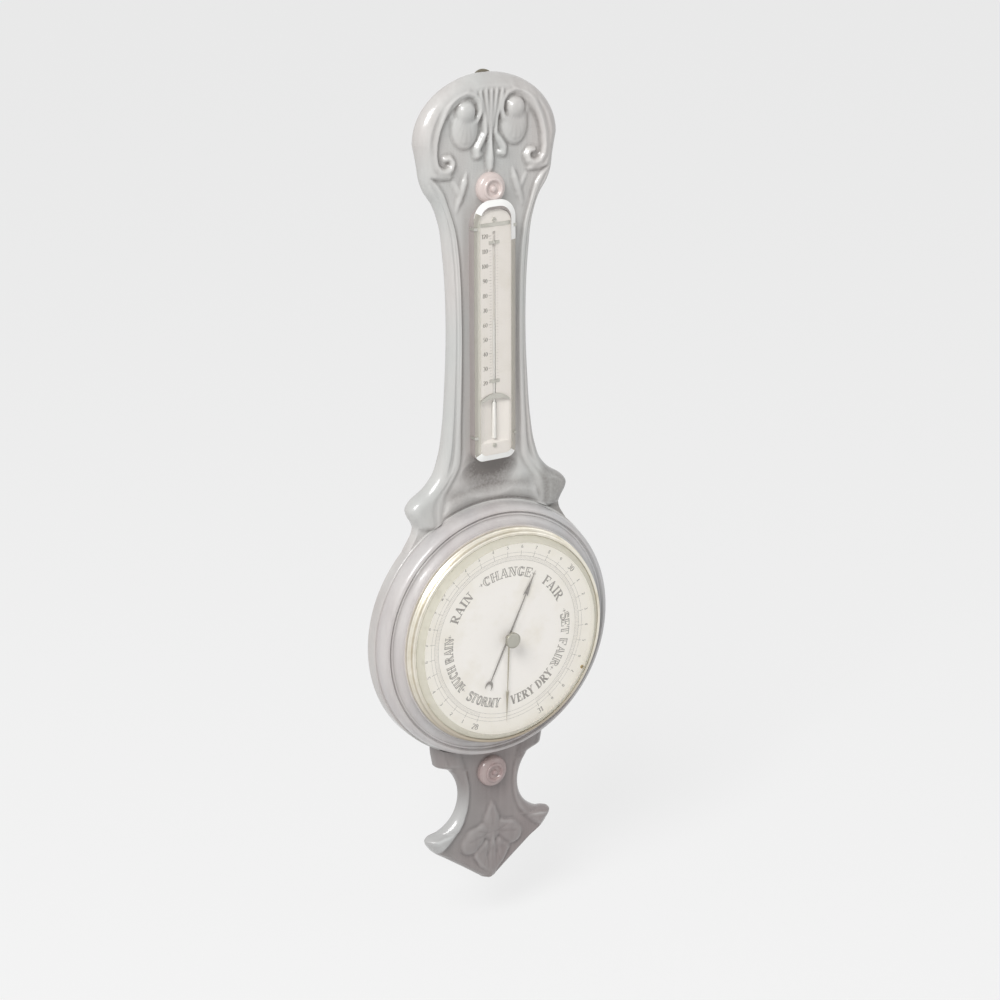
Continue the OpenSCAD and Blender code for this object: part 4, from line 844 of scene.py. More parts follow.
@dataclass
class SlabLetters:
    """Plain slab-serif capitals and numerals built of strokes, one unit high.

    Attributes:
        bar, hair: Half width of a heavy and of a thin stroke.
        slab: Half thickness of a serif.
        reach: How far a serif reaches past the middle of its stroke.
        edge: Half width of an open stroke's thinner line.
        shift: How far an open stroke is moved to one side.
    """

    bar: float = 0.105
    hair: float = 0.042
    slab: float = 0.042
    reach: float = 0.19
    edge: float = 0.036
    shift: float = 0.02

    def heavy(self, x0: float, y0: float, x1: float, y1: float) -> Stroke:
        """Returns a heavy straight stroke, with its ends in hundredths of the height."""
        return Stroke(((x0 / 100, y0 / 100), (x1 / 100, y1 / 100)), (self.bar, self.bar), True)

    def thin(self, x0: float, y0: float, x1: float, y1: float) -> Stroke:
        """Returns a thin straight stroke, with its ends in hundredths of the height."""
        return Stroke(((x0 / 100, y0 / 100), (x1 / 100, y1 / 100)), (self.hair, self.hair), False)

    def foot(self, *places: tuple) -> list:
        """Returns serifs at points in hundredths of the height."""
        r = self.reach
        return [Stroke(((x / 100 - r, y / 100), (x / 100 + r, y / 100)), (self.slab, self.slab), False)
                for x, y in places]

    def bow(self, x: float, y: float, rx: float, ry: float, start: float, end: float) -> Stroke:
        """Returns a round stroke that is heavy at its sides and thin at its top and bottom.

        Args:
            x: Middle of the round, in hundredths of the height like y, rx and ry.
            y: Height of its middle.
            rx: Half width of its middle line.
            ry: Half height of its middle line.
            start: First angle in degrees, counted from the right and upwards.
            end: Last angle in degrees.
        """
        steps = max(4, round(abs(end - start) / 18))
        line, half = [], []
        for i in range(steps + 1):
            a = math.radians(start + (end - start) * i / steps)
            line.append((x / 100 + rx / 100 * math.cos(a), y / 100 + ry / 100 * math.sin(a)))
            half.append(self.hair + (self.bar - self.hair) * math.cos(a) ** 2)
        return Stroke(tuple(line), tuple(half), True)

    def glyph(self, sign: str) -> tuple:
        """Returns the advance width and the list of strokes of a letter, a numeral or a space."""
        h, t, b, f = self.heavy, self.thin, self.bow, self.foot
        low, high = 100 * self.slab, 100 - 100 * self.slab
        table = {
            " ": (0.42, []),
            "A": (0.98, [h(46, 100, 80, 0), t(46, 100, 16, 0), t(26, 32, 68, 32)] + f((16, low), (80, low))),
            "C": (0.88, [b(46, 50, 32, 46, 42, 318), t(74, 66, 74, 98)]),
            "D": (0.92, [h(24, 0, 24, 100), b(40, 50, 36, 46, -90, 90), t(20, high, 42, high),
                t(20, low, 42, low)] + f((24, low), (24, high))),
            "E": (0.84, [h(24, 0, 24, 100), t(24, high, 72, high), t(24, 52, 56, 52), t(24, low, 74, low),
                t(72, 70, 72, 100), t(74, 0, 74, 30), t(56, 40, 56, 64)] + f((24, low), (24, high))),
            "F": (0.8, [h(24, 0, 24, 100), t(24, high, 72, high), t(24, 50, 56, 50), t(72, 70, 72, 100),
                t(56, 38, 56, 62)] + f((24, low), (24, high))),
            "G": (0.94, [b(46, 50, 32, 46, 42, 320), h(72, 8, 72, 40), t(52, 40, 88, 40), t(74, 70, 74, 98)]),
            "H": (1.02, [h(24, 0, 24, 100), h(78, 0, 78, 100), t(24, 50, 78, 50)] + f((24, low), (24, high),
                (78, low), (78, high))),
            "I": (0.5, [h(25, 0, 25, 100)] + f((25, low), (25, high))),
            "M": (1.14, [t(20, 0, 20, 100), h(22, 96, 56, 6), t(56, 6, 86, 100), h(90, 0, 90, 100)]
                + f((20, low), (90, low), (16, high), (95, high))),
            "N": (1.0, [t(20, 0, 20, 100), h(22, 96, 78, 6), t(80, 0, 80, 100)] + f((20, low), (16, high),
                (80, high))),
            "O": (0.92, [b(46, 50, 32, 46, 0, 360)]),
            "R": (0.94, [h(24, 0, 24, 100), b(42, 74, 28, 22, -90, 90), t(20, high, 44, high),
                t(24, 52, 44, 52), h(44, 52, 78, 2)] + f((24, low), (24, high), (82, low))),
            "S": (0.78, [b(39, 73.5, 25, 22.5, 30, 270), b(39, 26.5, 26, 24.5, 90, -150), t(64, 70, 64, 98),
                t(12, 2, 12, 30)]),
            "T": (0.86, [h(43, 0, 43, 100), t(6, high, 80, high), t(6, 68, 6, 100), t(80, 68, 80, 100)]
                + f((43, low))),
            "U": (0.96, [h(24, 34, 24, 100), b(49, 34, 25, 30, 180, 360), t(74, 34, 74, 100)]
                + f((24, high), (74, high))),
            "V": (0.94, [h(16, 100, 48, 0), t(48, 0, 78, 100)] + f((16, high), (78, high))),
            "Y": (0.92, [h(14, 100, 46, 48), t(46, 48, 78, 100), h(46, 0, 46, 50)] + f((14, high),
                (78, high), (46, low))),
            "0": (0.68, [b(34, 50, 23, 46, 0, 360)]),
            "1": (0.5, [h(28, 0, 28, 100), t(28, 96, 8, 78)] + f((28, low))),
            "2": (0.66, [b(32, 73, 23, 24, 165, -35), h(50, 58, 12, 8), t(6, low, 58, low)]),
            "3": (0.66, [b(30, 74.5, 21, 22, 150, -90), b(30, 27, 24, 25, 90, -150)]),
            "4": (0.7, [h(46, 0, 46, 100), t(46, 98, 6, 30), t(6, 30, 66, 30)]),
            "5": (0.66, [t(14, high, 56, high), t(14, 96, 12, 54), b(30, 31, 25, 29, 130, -150)]),
            "6": (0.68, [b(35, 30, 22, 27, 0, 360), b(58, 40, 45, 56, 100, 180)]),
            "7": (0.64, [t(6, high, 60, high), h(56, 96, 26, 0)]),
            "8": (0.68, [b(34, 75, 20, 22, 0, 360), b(34, 27, 23, 25, 0, 360)]),
            "9": (0.68, [b(33, 70, 22, 27, 0, 360), b(10, 60, 45, 56, -80, 0)]),
        }
        return table[sign]

    def width(self, text: str) -> float:
        """Returns the width of a line of text in units of its height."""
        return sum(self.glyph(sign)[0] for sign in text)

    def outlines(self, text: str, style: Face) -> list:
        """Returns the middle line and half widths of every stroke of a line of text."""
        found, start = [], 0.0
        for sign in text:
            advance, strokes = self.glyph(sign)
            for stroke in strokes:
                line = np.array(stroke.line) + (start, 0)
                half = np.array(stroke.half)
                if style is Face.OPEN and stroke.heavy:
                    along = np.gradient(line, axis=0)
                    normal = np.stack([-along[:, 1], along[:, 0]], axis=1)
                    normal /= np.linalg.norm(normal, axis=1)[:, None]
                    for side, edge in ((1, self.edge * 1.5), (-1, self.edge)):
                        moved = line + side * normal * (half + side * self.shift)[:, None]
                        found.append((moved, 0 * half + edge))
                else:
                    found.append((line, half))
            start += advance
        return found


class PrintedSheet:
    """Collects thin raised strokes and turns them into one closed mesh."""

    SINK, THICKNESS, LIFT = 0.002, 0.03, 0.0012

    def __init__(self, face_z: float) -> None:
        """Starts an empty sheet on a surface at a distance from the wall."""
        self.face_z = face_z
        self.points, self.faces, self.count = [], [], 0

    def ribbon(self, line: Array, half: Array, closed: bool = False) -> None:
        """Adds one stroke, a little higher than the one before, so that no two faces coincide.

        Args:
            line: Middle line in the case's plane.
            half: Half widths at its points.
            closed: Whether the line ends where it starts.
        """
        ring = np.roll(line, -1, axis=0) - np.roll(line, 1, axis=0)
        along = ring if closed else np.gradient(line, axis=0)
        normal = np.stack([-along[:, 1], along[:, 0]], axis=1)
        normal /= np.maximum(np.linalg.norm(normal, axis=1), 1e-9)[:, None]
        left, right = line + normal * half[:, None], line - normal * half[:, None]
        low = self.face_z + self.SINK
        high = self.face_z + self.THICKNESS + self.LIFT * (len(self.faces) % 7)
        start, n = self.count, len(line)
        for side, z in ((left, low), (right, low), (right, high), (left, high)):
            self.points.append(to_frame(side[:, 0], side[:, 1], z))
        self.count += 4 * n
        steps = n if closed else n - 1
        for i in range(steps):
            j = (i + 1) % n
            for k in range(4):
                here, next_to = start + k * n, start + (k + 1) % 4 * n
                self.faces.append([here + i, here + j, next_to + j, next_to + i])
        if not closed:
            self.faces.append([start + k * n for k in range(4)])
            self.faces.append([start + k * n + n - 1 for k in reversed(range(4))])

    def ring(self, centre: tuple, r: float, width: float, steps: int = 180) -> None:
        """Adds a thin printed circle."""
        line = np.array(round_outline(centre[0], centre[1], r, steps))
        self.ribbon(line, np.full(steps, width / 2), closed=True)

    def arc_text(self, text: str, r: float, middle: float, height: float, span: float,
                 upright: Upright, style: Face) -> None:
        """Adds a line of text bent round the dial's centre.

        Args:
            text: The text.
            r: Radius of the inner edge of the letters.
            middle: Angle of the text's middle, in degrees clockwise from the top.
            height: Height of the letters.
            span: Angle that the text fills, or 0 for its natural width.
            upright: Which way the letters' tops point.
            style: Solid or open strokes.
        """
        letters = SlabLetters()
        wide = letters.width(text)
        turn = math.radians(span) if span else wide * height / (r + height / 2)
        sign = upright.value
        base = r if sign > 0 else r + height
        for line, half in letters.outlines(text, style):
            angle = math.radians(middle) + sign * (line[:, 0] / wide - 0.5) * turn
            radius = base + sign * line[:, 1] * height
            bent = np.stack([radius * np.sin(angle), radius * np.cos(angle)], axis=1)
            self.ribbon(bent, half * height)

    def line_text(self, text: str, x: float, v: float, height: float, squeeze: float = 1.0) -> None:
        """Adds a straight line of text, centred on a point."""
        letters = SlabLetters()
        wide = letters.width(text) * height * squeeze
        for line, half in letters.outlines(text, Face.SOLID):
            px, pv = x - wide / 2 + line[:, 0] * height * squeeze, v + (line[:, 1] - 0.5) * height
            self.ribbon(np.stack([px, pv], axis=1), half * height)

    def piece(self, name: str, finish: Material) -> Piece:
        """Returns the sheet as one object."""
        return closed_solid(name, np.vstack(self.points), self.faces, finish)


def tone(red: int, green: int, blue: int) -> tuple:
    """Turns a display colour of 0 to 255 into the linear colour that the shaders take."""
    linear = []
    for part in (red, green, blue):
        c = part / 255
        linear.append(c / 12.92 if c <= 0.04045 else ((c + 0.055) / 1.055) ** 2.4)
    return (*linear, 1.0)


class ShaderTree(NodeTree):
    """Builds one node material on Object coordinates."""

    def __init__(self, name: str) -> None:
        """Starts a material with an output, a main shader and Object coordinates."""
        self.material = bpy.data.materials.new(name)
        self.material.use_nodes = True
        super().__init__(self.material.node_tree)
        self.out = self.add("ShaderNodeOutputMaterial")
        self.main = self.add("ShaderNodeBsdfPrincipled")
        self.place = self.add("ShaderNodeTexCoord").outputs["Object"]
        self.show(self.main)

    def show(self, shader: Node) -> None:
        """Makes a shader the material's surface."""
        self.feed(self.out.inputs["Surface"], shader)

    def set(self, **values: object) -> None:
        """Sets or links inputs of the main shader."""
        for key, value in values.items():
            self.feed(self.main.inputs[key.replace("_", " ")], value)

    def stretched(self, x: float, y: float, z: float) -> Socket:
        """Returns Object coordinates centred on the dial and stretched along each axis."""
        mapping = self.add("ShaderNodeMapping", Vector=self.place, Scale=(x, y, z))
        mapping.inputs["Location"].default_value = (0, 0, HANG_HEIGHT * MM * z)
        return mapping.outputs[0]

    def noise(self, vector: Socket, scale: float, detail: float = 3.0,
              roughness: float = 0.5) -> Socket:
        """Returns a noise's value."""
        return self.add("ShaderNodeTexNoise", Vector=vector, Scale=scale, Detail=detail,
                        Roughness=roughness).outputs[0]

    def lathe_marks(self, scale: float) -> Socket:
        """Returns a noise that changes only with the distance from the dial's axis."""
        return self.add("ShaderNodeTexNoise", {"noise_dimensions": "1D"}, W=self.dial_radius(), Scale=scale,
                        Detail=2.0).outputs[0]

    def ramp(self, fac: object, *stops: tuple) -> Socket:
        """Returns the colour that a ramp of positions and colours gives a value."""
        node = self.add("ShaderNodeValToRGB", Fac=fac)
        stairs = node.color_ramp.elements
        while len(stairs) < len(stops):
            stairs.new(0.5)
        for stair, (position, colour) in zip(stairs, stops):
            stair.position = position
            stair.color = colour
        return node.outputs[0]

    def rise(self, fac: object, start: float, end: float, top: float = 1.0) -> Socket:
        """Returns a grey that rises from black at one value to a top at another."""
        return self.ramp(fac, (start, (0, 0, 0, 1)), (end, (top, top, top, 1)))

    def blend(self, fac: object, a: object, b: object) -> Socket:
        """Returns a mix of two colours."""
        node = self.add("ShaderNodeMix", {"data_type": "RGBA"})
        for socket, value in zip((node.inputs[0], node.inputs[6], node.inputs[7]), (fac, a, b)):
            self.feed(socket, value)
        return node.outputs[2]

    def bump(self, height: Socket, strength: float, distance: float) -> None:
        """Gives the main shader a bump of a real depth in metres."""
        self.set(Normal=self.add("ShaderNodeBump", Height=height, Strength=strength, Distance=distance))

    def dial_radius(self) -> Socket:
        """Returns the distance from the axis through the dial's centre."""
        parts = self.add("ShaderNodeSeparateXYZ", Vector=self.stretched(1, 1, 1)).outputs
        squares = self.math("ADD", self.math("POWER", parts[0], 2.0), self.math("POWER", parts[2], 2.0))
        return self.math("SQRT", squares)

    def let_light_through(self, shader: Node) -> None:
        """Shows a shader, but lets the rays that light what lies behind pass straight on."""
        ray = self.add("ShaderNodeLightPath").outputs
        passes = self.math("MAXIMUM", ray["Is Shadow Ray"], ray["Is Diffuse Ray"])
        clear = self.add("ShaderNodeBsdfTransparent", Color=(1, 1, 1, 1))
        self.show(self.either(passes, shader, clear))


@dataclass(frozen=True)
class Finish:
    """A material's name and the way to make it."""

    name: str

    def build(self) -> Material:
        """Returns the material."""
        s = ShaderTree(self.name)
        self.paint(s)
        return s.material

    def paint(self, s: ShaderTree) -> None:
        """Adds the nodes of one kind of finish."""
        raise NotImplementedError


@dataclass(frozen=True)
class WoodFinish(Finish):
    """Varnished wood with fine grain, tints, grime and painted shade in its hollows, and worn, lighter
    ridges.

    Attributes:
        light, dark: Colours of the grain.
        tint: Colour that clouds part of the surface.
        hollow, worn: Colours of the grime and painted shade in the hollows, and of the worn ridges, which on
            the tail's left border stands for painted light.
        gloss: Roughness of the varnish.
        along: How far the grain is stretched along its length.
        turned: Whether the piece was turned about the dial's axis.
    """

    light: tuple
    dark: tuple
    tint: tuple
    hollow: tuple
    worn: tuple
    gloss: float = 0.24
    along: float = 0.06
    turned: bool = False

    def paint(self, s: ShaderTree) -> None:
        """Adds this finish's nodes."""
        grain_place = s.stretched(1, 1, self.along)
        streaks = s.noise(grain_place, 260, 5, 0.62)
        bands = s.noise(grain_place, 46, 3, 0.5)
        clouds = s.noise(s.stretched(1, 1, 0.6), 13, 2, 0.5)
        mixed = s.math("ADD", s.math("MULTIPLY", streaks, 0.3), s.math("MULTIPLY", bands, 0.7))
        wood = s.ramp(mixed, (0.34, self.dark), (0.62, self.light))
        wood = s.blend(s.rise(clouds, 0.42, 0.66, 0.7), wood, self.tint)
        depth = s.add("ShaderNodeAttribute", {"attribute_name": "hollow"}).outputs["Fac"]
        rough_patch = s.noise(s.place, 420, 3, 0.6)
        # Grime and painted shade darken the wood by the stored depth; where that is negative, the worn colour
        # gives wear on ridges and painted light on the tail's left border.
        grime_and_painted_shade = s.math("MULTIPLY", s.math("MAXIMUM", depth, 0.0), s.math("ADD", rough_patch, 0.55), clamp=True)
        wear_and_painted_light = s.math("MULTIPLY", s.math("MAXIMUM", s.math("MULTIPLY", depth, -1.0), 0.0), 0.55, clamp=True)
        wood = s.blend(grime_and_painted_shade, wood, self.hollow)
        wood = s.blend(wear_and_painted_light, wood, self.worn)
        if self.turned:
            wood = s.blend(s.math("MULTIPLY", s.lathe_marks(900.0), 0.3), wood, self.dark)
        s.set(Base_Color=wood, Roughness=s.math("ADD", s.math("MULTIPLY", clouds, 0.16), self.gloss + 0.12))
        s.set(Coat_Weight=0.8, Coat_Roughness=self.gloss * 0.5, Coat_IOR=1.5)
        ripples = s.noise(s.stretched(1, 1, 0.5), 70, 2, 0.5)
        waves = s.math("ADD", s.math("MULTIPLY", streaks, 0.5), s.math("MULTIPLY", ripples, 3.0))
        s.bump(waves, 0.4, 0.00022)


class Texture(Enum):
    """How a metal's surface was worked."""

    TURNED = "turned"
    BRUSHED = "brushed"
    CAST = "cast"


@dataclass(frozen=True)
class MetalFinish(Finish):
    """Metal with the marks of its making, a little tarnish and, on turned pieces, painted shade on the lower
    side.

    Attributes:
        colour, tarnish: Colours of the clean metal and of its tarnish.
        roughness: Roughness of the clean metal.
        work: How the surface was worked.
        metallic: Share of metal, below 1 where a lacquer or an oxide covers it.
        age: How much tarnish there is.
        shaded, shade_from, shade_to: Painted shade: colour of turned metal's lower side, where less light
            falls,
        and between which heights in metres it takes over.
    """

    colour: tuple
    tarnish: tuple
    roughness: float = 0.28
    work: Texture = Texture.BRUSHED
    metallic: float = 1.0
    age: float = 0.5
    shaded: tuple = tone(166, 154, 136)
    shade_from: float = -0.53
    shade_to: float = -0.62

    def paint(self, s: ShaderTree) -> None:
        """Adds this finish's nodes."""
        if self.work is Texture.TURNED:
            marks, depth = s.lathe_marks(3200.0), 0.00002
        elif self.work is Texture.BRUSHED:
            marks, depth = s.noise(s.stretched(1, 1, 0.08), 1500, 2, 0.5), 0.00002
        else:
            marks, depth = s.noise(s.place, 900, 4, 0.65), 0.00012
        spots = s.noise(s.place, 55, 5, 0.62)
        aged = s.rise(spots, 0.46, 0.7, self.age)
        metal = s.blend(aged, self.colour, self.tarnish)
        # Painted shade: turned metal darkens towards its lower side.
        if self.work is Texture.TURNED:
            _, _, height = s.add("ShaderNodeSeparateXYZ", Vector=s.place).outputs
            low = s.add("ShaderNodeMapRange", Value=height, From_Min=self.shade_from, From_Max=self.shade_to)
            metal = s.blend(low.outputs[0], metal, self.shaded)
        s.set(Base_Color=metal, Metallic=self.metallic)
        s.set(Roughness=s.math("ADD", s.math("MULTIPLY", spots, 0.2), self.roughness - 0.08))
        s.bump(marks, 0.3, depth)


@dataclass(frozen=True)
class GlassFinish(Finish):
    """Clear glass with a faint tint that lets the light through to what lies behind it.

    Attributes:
        tint: Colour of the glass.
    """

    tint: tuple

    def paint(self, s: ShaderTree) -> None:
        """Adds this finish's nodes."""
        smears = s.noise(s.place, 30, 3, 0.6)
        s.set(Base_Color=s.blend(smears, self.tint, (1, 1, 1, 1)), Transmission_Weight=1.0, IOR=1.5)
        s.set(Roughness=s.math("MULTIPLY", s.rise(smears, 0.5, 0.75), 0.02))
        s.let_light_through(s.main)


@dataclass(frozen=True)
class BevelledGlassFinish(Finish):
    """Clear plate glass whose bevel shows painted reflections, lighter where it turns to the light.

    Attributes:
        tint: Colour of the glass.
        bright, dull: Painted reflections: the colours shown on the bevel's faces that turn to the light and
            on its other faces.
        cover, lit_cover: How much the dull and the bright faces hide.
        side_from: Height in metres above which the right side shows the lighter painted reflection too.
    """

    tint: tuple
    bright: tuple
    dull: tuple
    cover: float = 0.5
    lit_cover: float = 0.97
    side_from: float = 9.0

    def paint(self, s: ShaderTree) -> None:
        """Adds this finish's nodes."""
        s.set(Base_Color=self.tint, Transmission_Weight=1.0, IOR=1.5, Roughness=0.0)
        normal = s.add("ShaderNodeNewGeometry").outputs["Normal"]
        across, _, upward = s.add("ShaderNodeSeparateXYZ", Vector=normal).outputs
        _, _, height = s.add("ShaderNodeSeparateXYZ", Vector=s.place).outputs
        squares = s.math("MULTIPLY", across, across), s.math("MULTIPLY", upward, upward)
        lean = s.math("SQRT", s.math("ADD", *squares))
        sloped = s.rise(lean, 0.1, 0.16)
        ends = s.math("GREATER_THAN", s.math("ABSOLUTE", upward), 0.12)
        high = s.math("GREATER_THAN", height, self.side_from)
        side = s.math("MULTIPLY", s.math("GREATER_THAN", across, 0.12), high)
        lit = s.math("MAXIMUM", ends, side)
        # Painted reflection: a diffuse colour, lighter on the faces that turn to the light, stands in for
        # what the bevel reflects.
        ground = s.add("ShaderNodeBsdfDiffuse", Color=s.blend(lit, self.dull, self.bright))
        share = s.math("ADD", s.math("MULTIPLY", lit, self.lit_cover - self.cover), self.cover)
        s.let_light_through(s.either(s.math("MULTIPLY", sloped, share), s.main, ground))


@dataclass(frozen=True)
class SheetFinish(Finish):
    """Silvered or enamelled sheet, yellowed towards its rim, with faint stains.

    Attributes:
        middle, rim, stain: Colours in the middle, at the dial's rim and of the stains.
        roughness: Roughness of the sheet.
    """

    middle: tuple
    rim: tuple
    stain: tuple
    roughness: float = 0.42

    def paint(self, s: ShaderTree) -> None:
        """Adds this finish's nodes."""
        far = s.add("ShaderNodeMapRange", Value=s.dial_radius(), From_Min=0.05, From_Max=0.1).outputs[0]
        stains = s.noise(s.place, 34, 5, 0.6)
        specks = s.noise(s.place, 600, 2, 0.5)
        base = s.blend(far, self.middle, self.rim)
        base = s.blend(s.rise(stains, 0.5, 0.72, 0.45), base, self.stain)
        base = s.blend(s.rise(specks, 0.66, 0.78, 0.25), base, self.stain)
        s.set(Base_Color=base)
        s.set(Roughness=s.math("ADD", s.math("MULTIPLY", stains, 0.15), self.roughness - 0.07))
        s.bump(stains, 0.15, 0.0001)


@dataclass(frozen=True)
class InkFinish(Finish):
    """Printing ink or sealing wax, a little uneven.

    Attributes:
        dark, light: Colours where it is thick and where it is thin.
        roughness: Roughness of the ink.
    """

    dark: tuple
    light: tuple
    roughness: float = 0.5

    def paint(self, s: ShaderTree) -> None:
        """Adds this finish's nodes."""
        patches = s.noise(s.place, 240, 4, 0.6)
        s.set(Base_Color=s.ramp(patches, (0.38, self.dark), (0.66, self.light)), Roughness=self.roughness)


WOOD = WoodFinish("varnished_wood", tone(203, 200, 197), tone(186, 181, 178), tone(188, 192, 190),
                  tone(108, 102, 98), tone(226, 224, 221), gloss=0.24)
# Painted shade: the tail's wood is a darker copy of the case's wood, for the low tail under the drum.
TAIL_WOOD = WoodFinish("tail_wood", tone(150, 141, 139), tone(130, 120, 119), tone(140, 137, 135),
                       tone(76, 70, 69), tone(196, 197, 196), gloss=0.22)
TURNED_WOOD = WoodFinish("turned_wood", tone(206, 202, 200), tone(188, 182, 181), tone(192, 195, 197),
                         tone(130, 125, 124), tone(220, 218, 217), turned=True, gloss=0.22)
BOX_WOOD = WoodFinish("box_wood", tone(172, 163, 160), tone(154, 146, 143), tone(164, 157, 155),
                      tone(80, 74, 74), tone(190, 184, 182))
TOP_BOSS = WoodFinish("top_boss_wood", tone(220, 210, 205), tone(200, 184, 179), tone(214, 200, 196),
                      tone(130, 108, 104), tone(232, 226, 222), gloss=0.18)
# Painted shade: the lower rosette's wood is a darker copy of the upper one's.
LOW_BOSS = WoodFinish("bottom_boss_wood", tone(184, 169, 165), tone(156, 133, 132), tone(172, 150, 149),
                      tone(104, 74, 74), tone(212, 204, 201), gloss=0.18)
BEZEL_BRASS = MetalFinish("bezel_brass", tone(240, 235, 222), tone(206, 197, 172), 0.3, Texture.TURNED)
HANGER_BRASS = MetalFinish("hanger_brass", tone(128, 122, 108), tone(92, 86, 74), 0.4, Texture.BRUSHED, 0.8)
GUARD_METAL = MetalFinish("silvered_brass", tone(200, 199, 192), tone(158, 156, 146), 0.34, Texture.BRUSHED,
                          0.7)
PLAIN_BRASS = MetalFinish("plain_brass", tone(214, 190, 132), tone(150, 122, 70), 0.32, Texture.BRUSHED)
STEEL = MetalFinish("steel", tone(178, 178, 180), tone(110, 102, 94), 0.3, Texture.BRUSHED)
BLUED = MetalFinish("blued_steel", tone(62, 62, 70), tone(90, 84, 80), 0.35, Texture.BRUSHED, 0.6)
IRON = MetalFinish("cast_iron", tone(78, 80, 84), tone(110, 84, 66), 0.5, Texture.CAST, 0.7)
SET_BRASS = MetalFinish("set_hand_brass", tone(176, 170, 152), tone(146, 136, 112), 0.3, Texture.BRUSHED)
KNOB_BRASS = MetalFinish("knob_brass", tone(185, 183, 173), tone(154, 150, 138), 0.34, Texture.TURNED, 0.7)
BOX_GLASS = BevelledGlassFinish("box_glass", tone(255, 254, 252), tone(248, 248, 246), tone(186, 185, 172),
                                0.5, side_from=-0.139)
DIAL_GLASS = BevelledGlassFinish("dial_glass", tone(255, 254, 253), tone(202, 198, 180), tone(198, 194, 175),
                                 0.62, 0.62)
TUBE_GLASS = GlassFinish("tube_glass", tone(252, 251, 250))
DIAL_SHEET = SheetFinish("dial_enamel", tone(247, 244, 239), tone(241, 237, 226), tone(230, 224, 209))
SCALE_SHEET = SheetFinish("scale_enamel", tone(229, 225, 219), tone(229, 224, 218), tone(214, 208, 196))
INK = InkFinish("dial_ink", tone(138, 134, 128), tone(164, 160, 153))
SCALE_INK = InkFinish("scale_ink", tone(112, 106, 98), tone(148, 141, 131))
HAND_METAL = MetalFinish("dark_hand", tone(140, 136, 131), tone(158, 153, 145), 0.4, Texture.BRUSHED, 0.3)
SPIRIT = InkFinish("liquid", tone(226, 225, 221), tone(234, 233, 229), 0.15)


@dataclass
class Dressing:
    """Attributes:
        nodes: The frame's nodes by name.
        built: Materials by finish, each made once.
    """

    nodes: dict
    built: dict = field(default_factory=dict)

    def material(self, finish: object) -> Material:
        """Returns a finish's material, made at its first use."""
        if finish not in self.built:
            self.built[finish] = finish.build()
        return self.built[finish]

    def dress(self, finish: object, *names: str) -> None:
        """Puts a finish on CAD nodes by their names."""
        for name in names:
            for holder in self.nodes[name].material_slots:
                holder.material = self.material(finish)
            LOG.info("dressed %s in %s", name, finish.name)

    def declare(self, piece: Piece, body: str, slot: str, *replaced: str) -> None:
        """Says which body a new piece rides on, and hides the nodes that it stands for.

        Args:
            piece: The new piece.
            body: The body's name.
            slot: Not used.
            replaced: Names of the nodes that it replaces.
        """
        if replaced:
            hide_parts(*replaced)
        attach(piece, body)
        LOG.info("made %s on %s with %d faces", piece.name, body, len(piece.data.polygons))


@dataclass
class Case:
    """The carved case: boards, turned drum, rosettes, hanging plate and rear cover.

    Attributes:
        plate_r, plate_w, plate_low, plate_t: Radius of the recess for the hanging plate's disc, half width
            and lower end of the one for its strip, and their depth.
        pocket_v, pocket_r, pocket_depth: Height, radius and depth of the pocket for the wall screw's head.
        box_screws: Places of the sunk holes for the thermometer box's screws.
        sunk_r, sunk_depth: Radius and depth of those holes.
    """

    plate_r: float = 11.3
    plate_low: float = 465.7
    plate_t: float = 2.0
    plate_w: float = 11.3
    pocket_v: float = 510.0
    pocket_r: float = 7.0
    pocket_depth: float = 7.0
    box_screws: tuple = ((-20.1, 196.0), (20.1, 196.0), (-20.1, 380.0), (20.1, 380.0))
    sunk_r: float = 2.6
    sunk_depth: float = 1.9

    def back_cutters(self) -> list:
        """Returns the closed shapes of the openings in the back: a strip with a round top, and holes."""
        strip = arc_points(0, HANG_HEIGHT, self.plate_r, range(0, 181, 6))
        strip += [(-self.plate_w, self.plate_low), (self.plate_w, self.plate_low)]
        holes = [(0, self.pocket_v, self.pocket_r, self.pocket_depth)]
        holes += [(x, v, self.sunk_r, self.sunk_depth) for x, v in self.box_screws]
        return [prism("plate_recess", strip, -1, self.plate_t)] + [
            prism("hole", round_outline(x, v, r), -1, depth) for x, v, r, depth in holes]

    def build(self, dressing: Dressing) -> None:
        """Makes the carved boards and dresses the rest of the case."""
        for name, relief, wood, openings, nodes in (
                ("carved_neck_board", UpperRelief(), WOOD, self.back_cutters(), ("head_board", "neck_board")),
                ("carved_tail_board", TailRelief(), TAIL_WOOD, [], ("tail_board",))):
            carving = CarvedBoard(name, relief)
            board = carving.solid(dressing.material(wood))
            if openings:
                cut_out(board, *openings)
            carving.store_hollow(board)
            smooth_by_angle(board, 50)
            dressing.declare(board, ROOT, "wood", *nodes)
        dressing.dress(WOOD, "round_body")
        dressing.dress(TURNED_WOOD, "drum_ring")
        dressing.dress(TOP_BOSS, "top_boss")
        dressing.dress(LOW_BOSS, "bottom_boss")
        dressing.dress(HANGER_BRASS, "hanger_plate")
        dressing.dress(PLAIN_BRASS, "rear_cover")
        dressing.dress(STEEL, "hanger_screws", "drum_screws", "box_screws", "rear_cover_screws")


